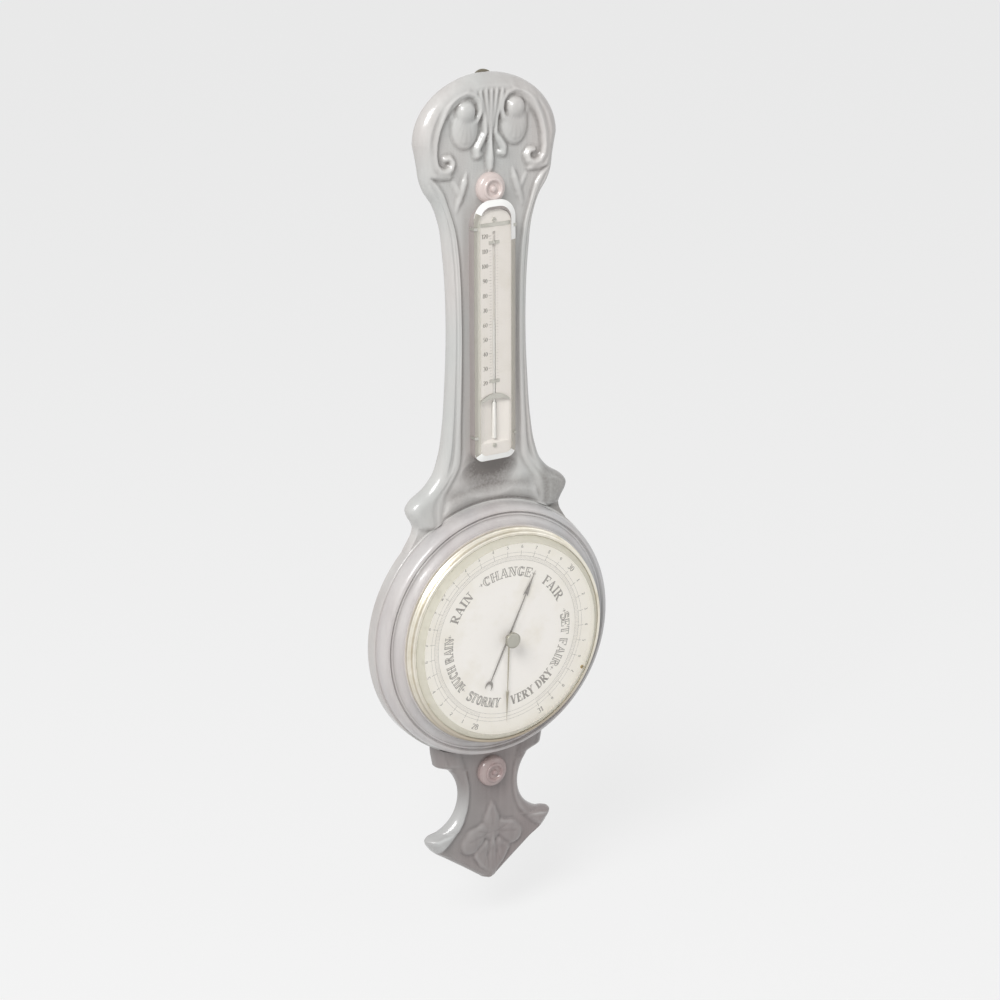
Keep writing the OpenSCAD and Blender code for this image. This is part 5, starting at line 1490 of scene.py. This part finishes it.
class Marks(NodeTree):
    """A Geometry Nodes tree that sets equal bars, with named sizes in metres and radians."""

    UNIT = MM
    SIZES = ("count", "first", "step", "near", "far", "width", "low", "high")

    def __init__(self, finish: Material) -> None:
        """Builds the tree, which ends in realised instances with one material."""
        super().__init__(bpy.data.node_groups.new("marks", "GeometryNodeTree"))
        face = self.tree.interface
        face.new_socket("Geometry", in_out="OUTPUT", socket_type="NodeSocketGeometry")
        self.sockets = {}
        for key in self.SIZES:
            kind = "NodeSocketInt" if key == "count" else "NodeSocketFloat"
            self.sockets[key] = face.new_socket(key, in_out="INPUT", socket_type=kind).identifier
        source, sink = self.nodes.new("NodeGroupInput"), self.nodes.new("NodeGroupOutput")
        count, first, step, near, far, self.width, low, high = [source.outputs[key] for key in self.SIZES]
        line = self.add("GeometryNodeMeshLine", Count=count)
        index = self.add("GeometryNodeInputIndex").outputs[0]
        station = self.math("ADD", first, self.math("MULTIPLY", index, step))
        middle = self.math("MULTIPLY", self.math("ADD", near, far), 0.5)
        depth = self.math("MULTIPLY", self.math("ADD", low, high), -0.5)
        length, thick = self.math("SUBTRACT", far, near), self.math("SUBTRACT", high, low)
        across, up, wide, tall, turn = self.layout(station, middle, length)
        up = self.math("SUBTRACT", up, HANG_HEIGHT * MM)
        bar = self.add("GeometryNodeMeshCube", Size=self.add("ShaderNodeCombineXYZ", X=wide, Y=thick, Z=tall))
        place = self.add("ShaderNodeCombineXYZ", X=across, Y=depth, Z=up)
        points = self.add("GeometryNodeSetPosition", Geometry=line, Position=place)
        marks = self.add("GeometryNodeInstanceOnPoints", Points=points, Instance=bar,
                         Rotation=self.add("ShaderNodeCombineXYZ", Y=turn))
        real = self.add("GeometryNodeRealizeInstances", Geometry=marks)
        self.feed(sink.inputs[0], self.add("GeometryNodeSetMaterial", Geometry=real, Material=finish))

    def layout(self, station: Socket, middle: Socket, length: Socket) -> tuple:
        """Returns where a bar stands right of and above the dial's centre, its width, height and turn."""
        raise NotImplementedError

    def piece(self, name: str, count: int, first: float, step: float, **sizes: float) -> Piece:
        """Returns the bars as one plain mesh with no modifier left.

        Args:
            name: Name of the piece.
            count: Number of bars.
            first: Station of the first bar, in millimetres or degrees.
            step: How far it is to the next one.
            sizes: The tree's near, far, width, low and high, in millimetres.

        Returns:
            The new object.
        """
        values = {"count": count, "first": first * self.UNIT, "step": step * self.UNIT}
        values.update({key: size * MM for key, size in sizes.items()})
        holder = linked(name, bpy.data.meshes.new(name))
        nodes = holder.modifiers.new("nodes", "NODES")
        nodes.node_group = self.tree
        for key, value in values.items():
            nodes[self.sockets[key]] = value
        bake_modifiers(holder)
        holder.data.name = name
        return holder


class LadderMarks(Marks):
    """Level bars up the thermometer's plate."""

    def layout(self, station: Socket, middle: Socket, length: Socket) -> tuple:
        """Returns a level bar's place, sizes and turn."""
        return middle, station, length, self.width, 0.0


class RadialMarks(Marks):
    """Bars round the axis through the dial's centre, with stations in degrees clockwise from the top."""

    UNIT = math.pi / 180

    def layout(self, station: Socket, middle: Socket, length: Socket) -> tuple:
        """Returns the place, sizes and turn of a bar that points outwards."""
        across = self.math("MULTIPLY", middle, self.math("SINE", station))
        up = self.math("MULTIPLY", middle, self.math("COSINE", station))
        return across, up, self.width, length, station


@dataclass(frozen=True)
class WeatherWord:
    """One of the traditional words of the weather scale.

    Attributes:
        text: The word.
        middle, span: Angle of its middle, in degrees clockwise from the top, and angle that it fills.
        face: Solid or open letters.
        upright: Which way the tops of its letters point.
    """

    text: str
    middle: float
    span: float
    face: Face
    upright: Upright = Upright.OUTWARD


@dataclass
class Dial:
    """The barometer's dial with its printing, bezel, glass and hands.

    Attributes:
        face_z: Distance of the dial's face from the wall.
        low_inch, high_inch: First and last inch of the scale.
        half_sweep: Angle of the scale's ends from the top.
        words_r, words_h: Radius of the words' inner edge, and their height.
        numerals_r: Radius of the inner edge of the numerals.
        numerals_h, tenths_h: Height of the inches' and the tenths' numerals.
        rings: Radii of the printed circles.
        fine, tenth: Inner and outer radius of the hundredths' and the tenths' marks.
        hub_r: Radius of the hands' hubs.
        knob, notches: Inner and outer radius and both levels of the knob's milling, and how many ribs it has.
        between: Angles of the ornaments between the words.
        words: The words of the weather scale.
    """

    face_z: float = 39.0
    low_inch: int = 28
    high_inch: int = 31
    half_sweep: float = 156.0
    words_r: float = 59.9
    words_h: float = 9.3
    numerals_r: float = 87.0
    numerals_h: float = 5.5
    tenths_h: float = 3.4
    rings: tuple = (75.6, 79.6, 83.0)
    fine: tuple = (75.6, 79.6)
    tenth: tuple = (79.6, 85.2)
    hub_r: float = 4.5
    knob: tuple = (7.1, 7.42, 48.1, 51.7)
    notches: int = 54
    between: tuple = (-26.5, 26.5, -78, 78, -130, 130)
    words: tuple = (
        WeatherWord("CHANGE", 0, 49, Face.OPEN),
        WeatherWord("FAIR", 52, 27, Face.SOLID),
        WeatherWord("SET FAIR", 104, 49, Face.OPEN),
        WeatherWord("VERY DRY", 155, 45, Face.SOLID, Upright.INWARD),
        WeatherWord("RAIN", -52, 28.5, Face.SOLID),
        WeatherWord("MUCH RAIN", -104, 51, Face.OPEN),
        WeatherWord("STORMY", -155, 35, Face.OPEN, Upright.INWARD))

    def angle(self, inches: float) -> float:
        """Returns the angle of a pressure on the dial."""
        share = (inches - self.low_inch) / (self.high_inch - self.low_inch)
        return -self.half_sweep + 2 * self.half_sweep * share

    def numerals(self, sheet: PrintedSheet) -> None:
        """Prints the inches and, smaller, the tenths between them."""
        tenths = (self.high_inch - self.low_inch) * 10
        for k in range(tenths + 1):
            inches, tenth = self.low_inch + k // 10, k % 10
            middle = self.angle(self.low_inch + k / 10)
            upright = Upright.INWARD if abs(middle) > 110 else Upright.OUTWARD
            text, height = (str(inches), self.numerals_h) if tenth == 0 else (str(tenth), self.tenths_h)
            sheet.arc_text(text, self.numerals_r, middle, height, 0, upright, Face.SOLID)

    def ornament(self, sheet: PrintedSheet, middle: float) -> None:
        """Prints a small lozenge with two points beside it between two words."""
        r = self.words_r + self.words_h / 2
        a = math.radians(middle)
        centre = np.array([r * math.sin(a), r * math.cos(a)])
        out = np.array([math.sin(a), math.cos(a)])
        side = np.array([math.cos(a), -math.sin(a)])
        sheet.ribbon(np.array([centre - 1.9 * out, centre, centre + 1.9 * out]), np.array([0.05, 0.8, 0.05]))
        for way in (-1, 1):
            start = centre + way * 1.3 * side
            sheet.ribbon(np.array([start, start + way * 1.4 * side]), np.array([0.35, 0.08]))

    def slim_hand(self, node: Piece, name: str, reach: float, narrow: float) -> Piece:
        """Returns a slimmer copy of a hand.

        Args:
            node: The CAD hand.
            name: Name of the copy.
            reach: Share of its length that the pointing side keeps.
            narrow: Share of its width that it keeps beyond the hub.

        Returns:
            The copy.
        """
        mesh = node.data.copy()
        mesh.name = name
        points = points_of(mesh)
        x, v = points[:, 0], points[:, 2] + HANG_HEIGHT * MM
        tip = int(np.argmax(np.hypot(x, v)))
        way = np.array([x[tip], v[tip]]) / math.hypot(x[tip], v[tip])
        along, across = x * way[0] + v * way[1], x * way[1] - v * way[0]
        hub = self.hub_r * MM
        slim = smooth(hub, hub * 1.3, np.abs(along))
        across = across * (1 - (1 - narrow) * slim)
        along = np.where(along > hub, hub + (along - hub) * reach, along)
        wide = (along < -hub) & (np.abs(across) > 0.6 * MM)
        if wide.any():
            centre = (along[wide].min() + along[wide].max()) / 2
            shorter = centre + (along - centre) * np.where(along < centre + 9 * MM, 0.66, 1)
            along = np.where(along < -hub * 4, shorter, along)
        points[:, 0] = along * way[0] + across * way[1]
        points[:, 2] = along * way[1] - across * way[0] - HANG_HEIGHT * MM
        mesh.vertices.foreach_set("co", points.ravel())
        mesh.update()
        hand = linked(name, mesh)
        faces_outward(hand)
        return hand

    def build(self, dressing: Dressing) -> None:
        """Prints the dial, slims the hands, mills the knob and dresses the CAD pieces."""
        ink = dressing.material(INK)
        sheet = PrintedSheet(self.face_z)
        for w in self.words:
            sheet.arc_text(w.text, self.words_r, w.middle, self.words_h, w.span, w.upright, w.face)
        for middle in self.between:
            self.ornament(sheet, middle)
        self.numerals(sheet)
        for r in self.rings:
            sheet.ring((0, 0), r, 0.22)
        dressing.declare(sheet.piece("dial_print", ink), ROOT, "dial_enamel")
        marks = RadialMarks(ink)
        hundredths = (self.high_inch - self.low_inch) * 100
        low, high = self.face_z + INK_LOW, self.face_z + INK_HIGH
        step = 2 * self.half_sweep / hundredths
        for name, every, (near, far), width, top in (("hundredths_marks", 1, self.fine, 0.16, high),
                                                     ("tenths_marks", 10, self.tenth, 0.34, high + INK_STEP)):
            made = marks.piece(name, hundredths // every + 1, -self.half_sweep, step * every,
                               near=near, far=far, width=width, low=low, high=top)
            dressing.declare(made, ROOT, "dial_enamel")
        knob = RadialMarks(dressing.material(KNOB_BRASS))
        near, far, low, high = self.knob
        milling = knob.piece("knob_milling", self.notches, 0, 360 / self.notches,
                             near=near, far=far, width=0.42, low=low, high=high)
        dressing.declare(milling, "set_hand_body", "brass")
        dressing.dress(DIAL_SHEET, "dial_plate")
        dressing.dress(BEZEL_BRASS, "bezel", "glass_ring")
        dressing.dress(DIAL_GLASS, "dial_glass")
        for node, reach, narrow, finish, body, slot in (
                ("indicating_hand", 0.8, 0.5, HAND_METAL, "hand_arbor_body", "blued_steel"),
                ("set_hand", 1.0, 0.36, SET_BRASS, "set_hand_body", "pale_brass")):
            hand = self.slim_hand(dressing.nodes[node], "slim_" + node, reach, narrow)
            dressing.declare(finished(hand, dressing.material(finish)), body, slot, node)
        dressing.dress(SET_BRASS, "set_hand_spindle", "set_hand_washer")
        dressing.dress(KNOB_BRASS, "set_hand_knob")
        dressing.dress(PLAIN_BRASS, "dial_screws")


@dataclass
class Thermometer:
    """The thermometer in its glazed box on the neck.

    Attributes:
        half_w, low_v, high_v: Half width of the box, and heights of its lower and upper edge.
        glass_high: Height of the glass's upper edge.
        wall: Thickness of the box's walls.
        back_z, tray_z, top_z: Levels of the box's back, floor and front edge.
        face_z: Distance of the scale plate's face from the wall.
        edge_z, front_z, bevel_w: Levels of the bevel's outer and inner edge, and its width.
        well: Half width, depth, foot, top and rise of the arch of the hollow for the bulb.
        ramp: Length of the slope at the hollow's foot.
        tube_z, tube_r, tube_high: Level of the tube's axis, its radius and its upper end.
        bulb: Radius and ends of the bulb.
        bore_r, liquid_v: Radius of the bore, and height of the liquid.
        screws: Places of the scale's screws.
        low, high: Heights of the lowest and the highest mark.
        degree: Height of two degrees on the scale.
        numeral_step, numeral_gap: Height and degrees between numerals.
        first_numeral: Value of the lowest numeral.
    """

    half_w: float = 21.7
    low_v: float = 168.8
    high_v: float = 404.1
    glass_high: float = 409.3
    wall: float = 3.2
    back_z: float = 11.8
    tray_z: float = 14.6
    face_z: float = 18.0
    top_z: float = 20.0
    edge_z: float = 20.6
    front_z: float = 22.3
    bevel_w: float = 5.5
    well: tuple = (15.5, 3.0, 184.4, 231.5, 6.4)
    ramp: float = 2.6
    tube_z: float = 17.5
    tube_r: float = 1.5
    bulb: tuple = (2.3, 190.0, 222.0)
    tube_high: float = 379.0
    bore_r: float = 0.55
    liquid_v: float = 300.0
    screws: tuple = ((0.0, 391.5), (0.0, 182.0))
    low: float = 242.0
    high: float = 377.0
    degree: float = 2.7
    numeral_step: float = 13.5
    first_numeral: int = 20
    numeral_gap: int = 10

    def outline(self, inset: float, top: float, steps: int = 10) -> list:
        """Returns the upright outline up to a top, with rounded corners and made smaller by an inset."""
        w, low, high = self.half_w - inset, self.low_v + inset, top - inset
        r_low, r_high = 9 - inset * 0.6, 17 - inset * 0.9
        corners = ((w - r_high, high - r_high, r_high, 0), (r_high - w, high - r_high, r_high, 90),
                   (r_low - w, low + r_low, r_low, 180), (w - r_low, low + r_low, r_low, 270))
        points = []
        for x, v, r, first in corners:
            points += arc_points(x, v, r, [first + 90 * i / steps for i in range(steps + 1)])
        return points

    def level_ring(self, outline: list, z: float) -> Array:
        """Returns an outline's points at one level in the frame."""
        flat = np.array(outline, float)
        return to_frame(flat[:, 0], flat[:, 1], z)

    def hollow(self) -> Piece:
        """Returns the closed shape of the hollow for the bulb: a trough with an arched top."""
        w, depth, low, high, rise = self.well
        arch_r = arc_radius(w, rise)
        x = np.linspace(-w, w, 41)[None, :]
        arch = arc_top(x, arch_r, high)
        t = np.concatenate([np.linspace(0, 0.1, 8), np.linspace(0.14, 0.86, 14), np.linspace(0.9, 1, 10)])
        v = low + t[:, None] * (arch - low)
        x = x + 0 * v
        trough = arc_top(x, arc_radius(w, depth), depth)
        foot = depth * (v - low) / self.ramp
        top = np.clip((arch_r - np.hypot(x, v - high + arch_r)) / 1.5, 0, None)
        top = np.where(v < high - arch_r, depth, top)
        deep = np.clip(np.minimum.reduce([trough, foot, top]), 0.001, None)
        n, m = x.shape
        floor = to_frame(x, v, self.face_z - deep).reshape(-1, 3)
        lid = to_frame(x, v, np.full_like(x, self.face_z + 1)).reshape(-1, 3)
        index = np.arange(n * m).reshape(n, m)
        quads = quads_of(index)
        rim = list(index[0, :]) + list(index[1:, -1]) + list(index[-1, -2::-1]) + list(index[-2:0:-1, 0])
        faces = quads.tolist() + (quads[:, ::-1] + n * m).tolist()
        for a, b in zip(rim, rim[1:] + rim[:1]):
            faces.append([a, b, b + n * m, a + n * m])
        return closed_solid("bulb_hollow", np.vstack([floor, lid]), faces)

    def spun(self, name: str, stations: list, steps: int = 20) -> Piece:
        """Turns stations of height and radius about the tube's axis into a closed solid."""
        rings = []
        for v, r in stations:
            a = 2 * math.pi * np.arange(steps) / steps
            rings.append(to_frame(r * np.cos(a), np.full(steps, v), self.tube_z + r * np.sin(a)))
        return loft(name, rings)

    def across(self, name: str, outline: list, low: float, high: float) -> Piece:
        """Runs an outline of x and level along the height, from low to high."""
        flat = np.array(outline, float)
        n = len(flat)
        return loft(name, [to_frame(flat[:, 0], np.full(n, v), flat[:, 1]) for v in (low, high)])

    def tube_stations(self, less: float) -> list:
        """Returns the stations of the tube with its bulb, made smaller by an amount."""
        r, low, high = self.bulb[0] - less, self.bulb[1], self.bulb[2]
        quarter, thin, top = [math.radians(a) for a in range(0, 91, 15)], 0.02, self.tube_r - less
        stations = [(low - r * math.cos(a), max(thin, r * math.sin(a))) for a in quarter]
        stations += [(high + 1.6 * k / 6, mix(r, top, smooth(0, 6, k))) for k in range(7)]
        return stations + [(self.tube_high + self.tube_r * math.sin(a), max(thin, top * math.cos(a)))
                           for a in quarter]

    def bore_stations(self, less: float, neck: float, r: float, top: float) -> list:
        """Returns the stations of what fills the bulb and the bore, up to a top."""
        end = self.bulb[2]
        within = [(v, width) for v, width in self.tube_stations(less) if v < end]
        return within + [(end, neck), (end + 1, r), (top, r)]

    def screw_heads(self) -> Piece:
        """Returns the slotted heads and shanks of the scale's screws."""
        made = []
        for x, v in self.screws:
            head = prism("head", round_outline(x, v, 2.1, 32), self.face_z, self.face_z + 0.9)
            slot = prism("slot", [(x - 3, v - 1.2), (x - 2.6, v - 1.7), (x + 3, v + 1.2), (x + 2.6, v + 1.7)],
                         self.face_z + 0.45, self.face_z + 2)
            made += [cut_out(head, slot), prism("shank", round_outline(x, v, 0.9, 16), 7.5, self.face_z)]
        return merged("raised_scale_screws", made)

    def clips(self) -> Piece:
        """Returns the two bowed straps that hold the tube."""
        z, foot, outer, inner = self.face_z, 5.5, 2.0, self.tube_r + 0.05
        level = z - self.tube_z
        rise = math.degrees(math.asin((level + 0.5) / outer))
        over = arc_points(0, self.tube_z, outer, np.linspace(180 - rise, rise, 15))
        start = math.degrees(math.asin(level / inner))
        under = arc_points(0, self.tube_z, inner, np.linspace(start, 180 - start, 15))
        outline = [(-foot, z), (-foot, z + 0.5)] + over + [(foot, z + 0.5), (foot, z)] + under
        made = [self.across("clip", outline, v - 1.5, v + 1.5) for v in (243, 371)]
        return merged("bowed_tube_clips", made)

    def guard(self) -> Piece:
        """Returns the arched strap over the bulb's top, on two feet."""
        w, high, rise = self.well[0], self.well[3], self.well[4]
        x = np.linspace(-w, w, 33)
        upper = arc_top(x, arc_radius(w, rise), high)
        lower = 193 + np.sqrt(34.0**2 - x**2)
        outline = list(zip(x, upper)) + list(zip(x[::-1], lower[::-1]))
        strap = prism("strap", outline, 19.15, 19.7)
        feet = [prism("foot", round_outline(side * 14.8, 224.5, 0.6, 16), 17.2, 19.2) for side in (-1, 1)]
        return merged("arched_guard", [strap] + feet)

    def pins(self) -> Piece:
        """Returns the bent clips that hold the glass."""
        x, bend, tip = self.half_w + 0.05, self.edge_z + 0.1, 2.6
        lean = (self.front_z - self.edge_z) / self.bevel_w
        outline = [(x, 14), (x + 0.7, 14), (x + 0.7, bend + 0.5), (x - tip, bend + 0.7 + lean * tip),
                   (x - tip, bend + lean * tip), (x, bend)]
        made = [self.across("pin", [(side * px, z) for px, z in outline], v - 1.2, v + 1.2)
                for side in (-1, 1) for v in (192, 385)]
        return merged("bent_glass_clips", made)

    def print_scale(self, dressing: Dressing) -> None:
        """Prints the numerals and marks."""
        sheet = PrintedSheet(self.face_z)
        count = round((self.high - self.low) / self.numeral_step) + 1
        for k in range(count):
            v = self.low + k * self.numeral_step
            sheet.line_text(str(self.first_numeral + k * self.numeral_gap), -9.4, v, 4.0, 0.9)
        dressing.declare(sheet.piece("scale_print", dressing.material(SCALE_INK)), ROOT, "dial_enamel")
        marks = LadderMarks(dressing.material(SCALE_INK))
        low, high = self.face_z + INK_LOW, self.face_z + INK_HIGH
        fine = round((self.high - self.low) / self.degree) + 1
        for name, left, right, gap, number, width in (
                ("left_degrees", -4.6, -2.6, self.degree, fine, 0.2),
                ("left_tens", -5.8, -2.6, self.numeral_step, count, 0.32),
                ("right_degrees", 2.6, 4.4, self.degree, fine, 0.16)):
            made = marks.piece(name, number, self.low, gap, near=left, far=right, width=width, low=low,
                               high=high + (INK_STEP if number == count else 0))
            dressing.declare(made, ROOT, "dial_enamel")

    def build(self, dressing: Dressing) -> None:
        """Makes the box, the plate, the tube and their fittings, and prints the scale."""
        tray = prism("raised_thermometer_box", self.outline(0, self.high_v), self.back_z, self.top_z)
        cut_out(tray, prism("inside", self.outline(self.wall, self.high_v), self.tray_z, self.top_z + 1))
        plate = prism("hollowed_scale", self.outline(self.wall + 0.3, self.high_v), self.tray_z, self.face_z)
        groove = self.spun("groove", [(200, self.tube_r + 0.1), (self.tube_high + 1.8, self.tube_r + 0.1)])
        cut_out(plate, self.hollow(), groove)
        inside = self.spun("inside", self.bore_stations(0.5, 1.2, self.bore_r, self.tube_high))
        tube = merged("raised_tube", [self.spun("outside", self.tube_stations(0)), inside])
        liquid = self.spun("raised_liquid", self.bore_stations(0.56, 1.1, self.bore_r - 0.05, self.liquid_v))
        whole, inset = self.outline(0, self.glass_high), self.outline(self.bevel_w, self.glass_high)
        glass = loft("raised_glass", [self.level_ring(whole, self.top_z), self.level_ring(whole, self.edge_z),
                                      self.level_ring(inset, self.front_z)])
        for piece, finish, slot, node in (
                (tray, BOX_WOOD, "box_wood", "thermometer_box"),
                (plate, SCALE_SHEET, "dial_enamel", "thermometer_scale"),
                (tube, TUBE_GLASS, "tube_glass", "thermometer_tube"),
                (liquid, SPIRIT, "liquid", "thermometer_liquid"),
                (glass, BOX_GLASS, "bevelled_glass", "thermometer_glass"),
                (self.screw_heads(), GUARD_METAL, "brass", "scale_screws"),
                (self.clips(), GUARD_METAL, "brass", "tube_clips"),
                (self.guard(), GUARD_METAL, "dial_enamel", "bulb_guard"),
                (self.pins(), GUARD_METAL, "brass", "glass_clips")):
            sharp = 8 if piece is glass else 30
            dressing.declare(finished(piece, dressing.material(finish), sharp), ROOT, slot, node)
        strap = prism("head_strap", [(-17.4, 385.4), (17.4, 385.4), (17.4, 388.9), (-17.4, 388.9)],
                      self.face_z + 0.05, self.face_z + 0.35)
        dressing.declare(finished(strap, dressing.material(GUARD_METAL)), ROOT, "dial_enamel")
        self.print_scale(dressing)


@dataclass
class Movement:
    """The aneroid movement in its can behind the dial."""

    def build(self, dressing: Dressing) -> None:
        """Dresses the movement's pieces in the metals that such movements have."""
        dressing.dress(PLAIN_BRASS, "movement_can", "base_plate", "capsule_body", "capsule_post",
                       "arbor_bridge", "lower_arbor_bar", "bridge_pillars", "shaft_brackets",
                       "hairspring_stud", "hand_arbor")
        dressing.dress(IRON, "main_bridge")
        dressing.dress(STEEL, "can_screws", "base_screws", "capsule_pin", "bridge_pivot_screws",
                       "adjusting_screw", "lever_screws", "connecting_link", "rocking_shaft",
                       "bracket_screws", "chain", "bridge_screws", "main_lever")
        dressing.dress(BLUED, "mainspring", "hairspring")


@dataclass
class Studio:
    """Camera, floor, world and lamps.

    Attributes:
        position: Camera's place in the shared frame, in metres.
        right, up, back: Camera's right and up, and the direction from what it looks at.
        lens: Focal length on a sensor of 36 mm.
        floor_z: Height of the floor.
        even_light: Strength of the world's light.
        pale: Colour of the background as it shows.
    """

    position: tuple = (-1.09128, -1.74969, 0.30897)
    right: tuple = (0.84423, -0.53598, -0.00208)
    up: tuple = (0.17319, 0.26911, 0.94741)
    back: tuple = (-0.50723, -0.80019, 0.32002)
    lens: float = 84.27
    floor_z: float = -0.83
    even_light: float = 0.43
    pale: tuple = tone(243, 243, 243)

    def camera(self) -> None:
        """Places the camera at the photograph's angle."""
        view = bpy.data.cameras.new("camera")
        view.lens = self.lens
        view.sensor_width = 36
        view.clip_end = 100
        eye = linked("camera", view)
        turn = Matrix((self.right, self.up, self.back)).transposed().to_4x4()
        eye.matrix_world = Matrix.Translation(Vector(self.position)) @ turn
        bpy.context.scene.camera = eye

    def split(self, tree: NodeTree, unseen: Node, seen: Node, end: str) -> None:
        """Ends a tree in one shader for the light and another for the rays that should meet plain paper.

        Args:
            tree: The tree.
            unseen: Shader that lights the object.
            seen: Shader that the camera meets, straight, in a mirror or through glass.
            end: Type of the output node.
        """
        ray = tree.add("ShaderNodeLightPath").outputs
        share = tree.math("MAXIMUM", ray["Is Camera Ray"], ray["Is Glossy Ray"])
        share = tree.math("MAXIMUM", share, ray["Is Transmission Ray"])
        tree.feed(tree.add(end).inputs[0], tree.either(share, unseen, seen))

    def world(self, strength: float) -> None:
        """Makes the even light of the world and the background that the camera sees."""
        world = bpy.data.worlds.new("studio")
        bpy.context.scene.world = world
        world.use_nodes = True
        tree = NodeTree(world.node_tree)
        light = tree.add("ShaderNodeBackground", Color=(1, 1, 1, 1), Strength=strength)
        self.split(tree, light, tree.add("ShaderNodeBackground", Color=self.pale), "ShaderNodeOutputWorld")

    def floor(self) -> None:
        """Makes the pale floor, which keeps the object's shadow."""
        half, z = 40.0, self.floor_z
        corners = np.array([(-half, -half, z), (half, -half, z), (half, half, z), (-half, half, z)])
        material = bpy.data.materials.new("floor")
        material.use_nodes = True
        tree = NodeTree(material.node_tree)
        lit = tree.add("ShaderNodeAddShader")
        glow = tuple(c * 0.82 for c in self.pale[:3]) + (1.0,)
        tree.feed(lit.inputs[0], tree.add("ShaderNodeEmission", Color=glow))
        tree.feed(lit.inputs[1], tree.add("ShaderNodeBsdfDiffuse", Color=(0.18, 0.18, 0.18, 1)))
        soft = tree.add("ShaderNodeBsdfDiffuse", Color=(0.8, 0.8, 0.8, 1))
        self.split(tree, soft, lit, "ShaderNodeOutputMaterial")
        mesh_object("floor", corners, [[0, 1, 2, 3]], material)

    def lamp(self, name: str, place: tuple, size: float, power: float) -> None:
        """Adds a square soft lamp that looks at the middle of the object."""
        light = bpy.data.lights.new(name, "AREA")
        light.shape = "SQUARE"
        light.size = size
        light.energy = power
        lamp = linked(name, light)
        spot = Vector(place)
        aim = Vector((0, 0, -0.35)) - spot
        lamp.matrix_world = Matrix.Translation(spot) @ aim.to_track_quat("-Z", "Y").to_matrix().to_4x4()

    def build(self) -> None:
        """Sets up the whole studio."""
        self.camera()
        self.world(self.even_light)
        self.floor()
        self.lamp("key", (-2.0, -1.5, 1.8), 1.4, 80)
        self.lamp("fill", (1.9, -2.0, 0.3), 1.6, 6)
        bpy.context.scene.view_settings.view_transform = "Standard"


def main() -> None:
    """Builds every assembly in order."""
    logging.basicConfig(level=logging.INFO, format="%(name)s %(message)s")
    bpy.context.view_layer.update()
    Studio().build()
    dressing = Dressing(frame["nodes"])
    Case().build(dressing)
    Dial().build(dressing)
    Thermometer().build(dressing)
    Movement().build(dressing)


if __name__ == "__main__":
    main()
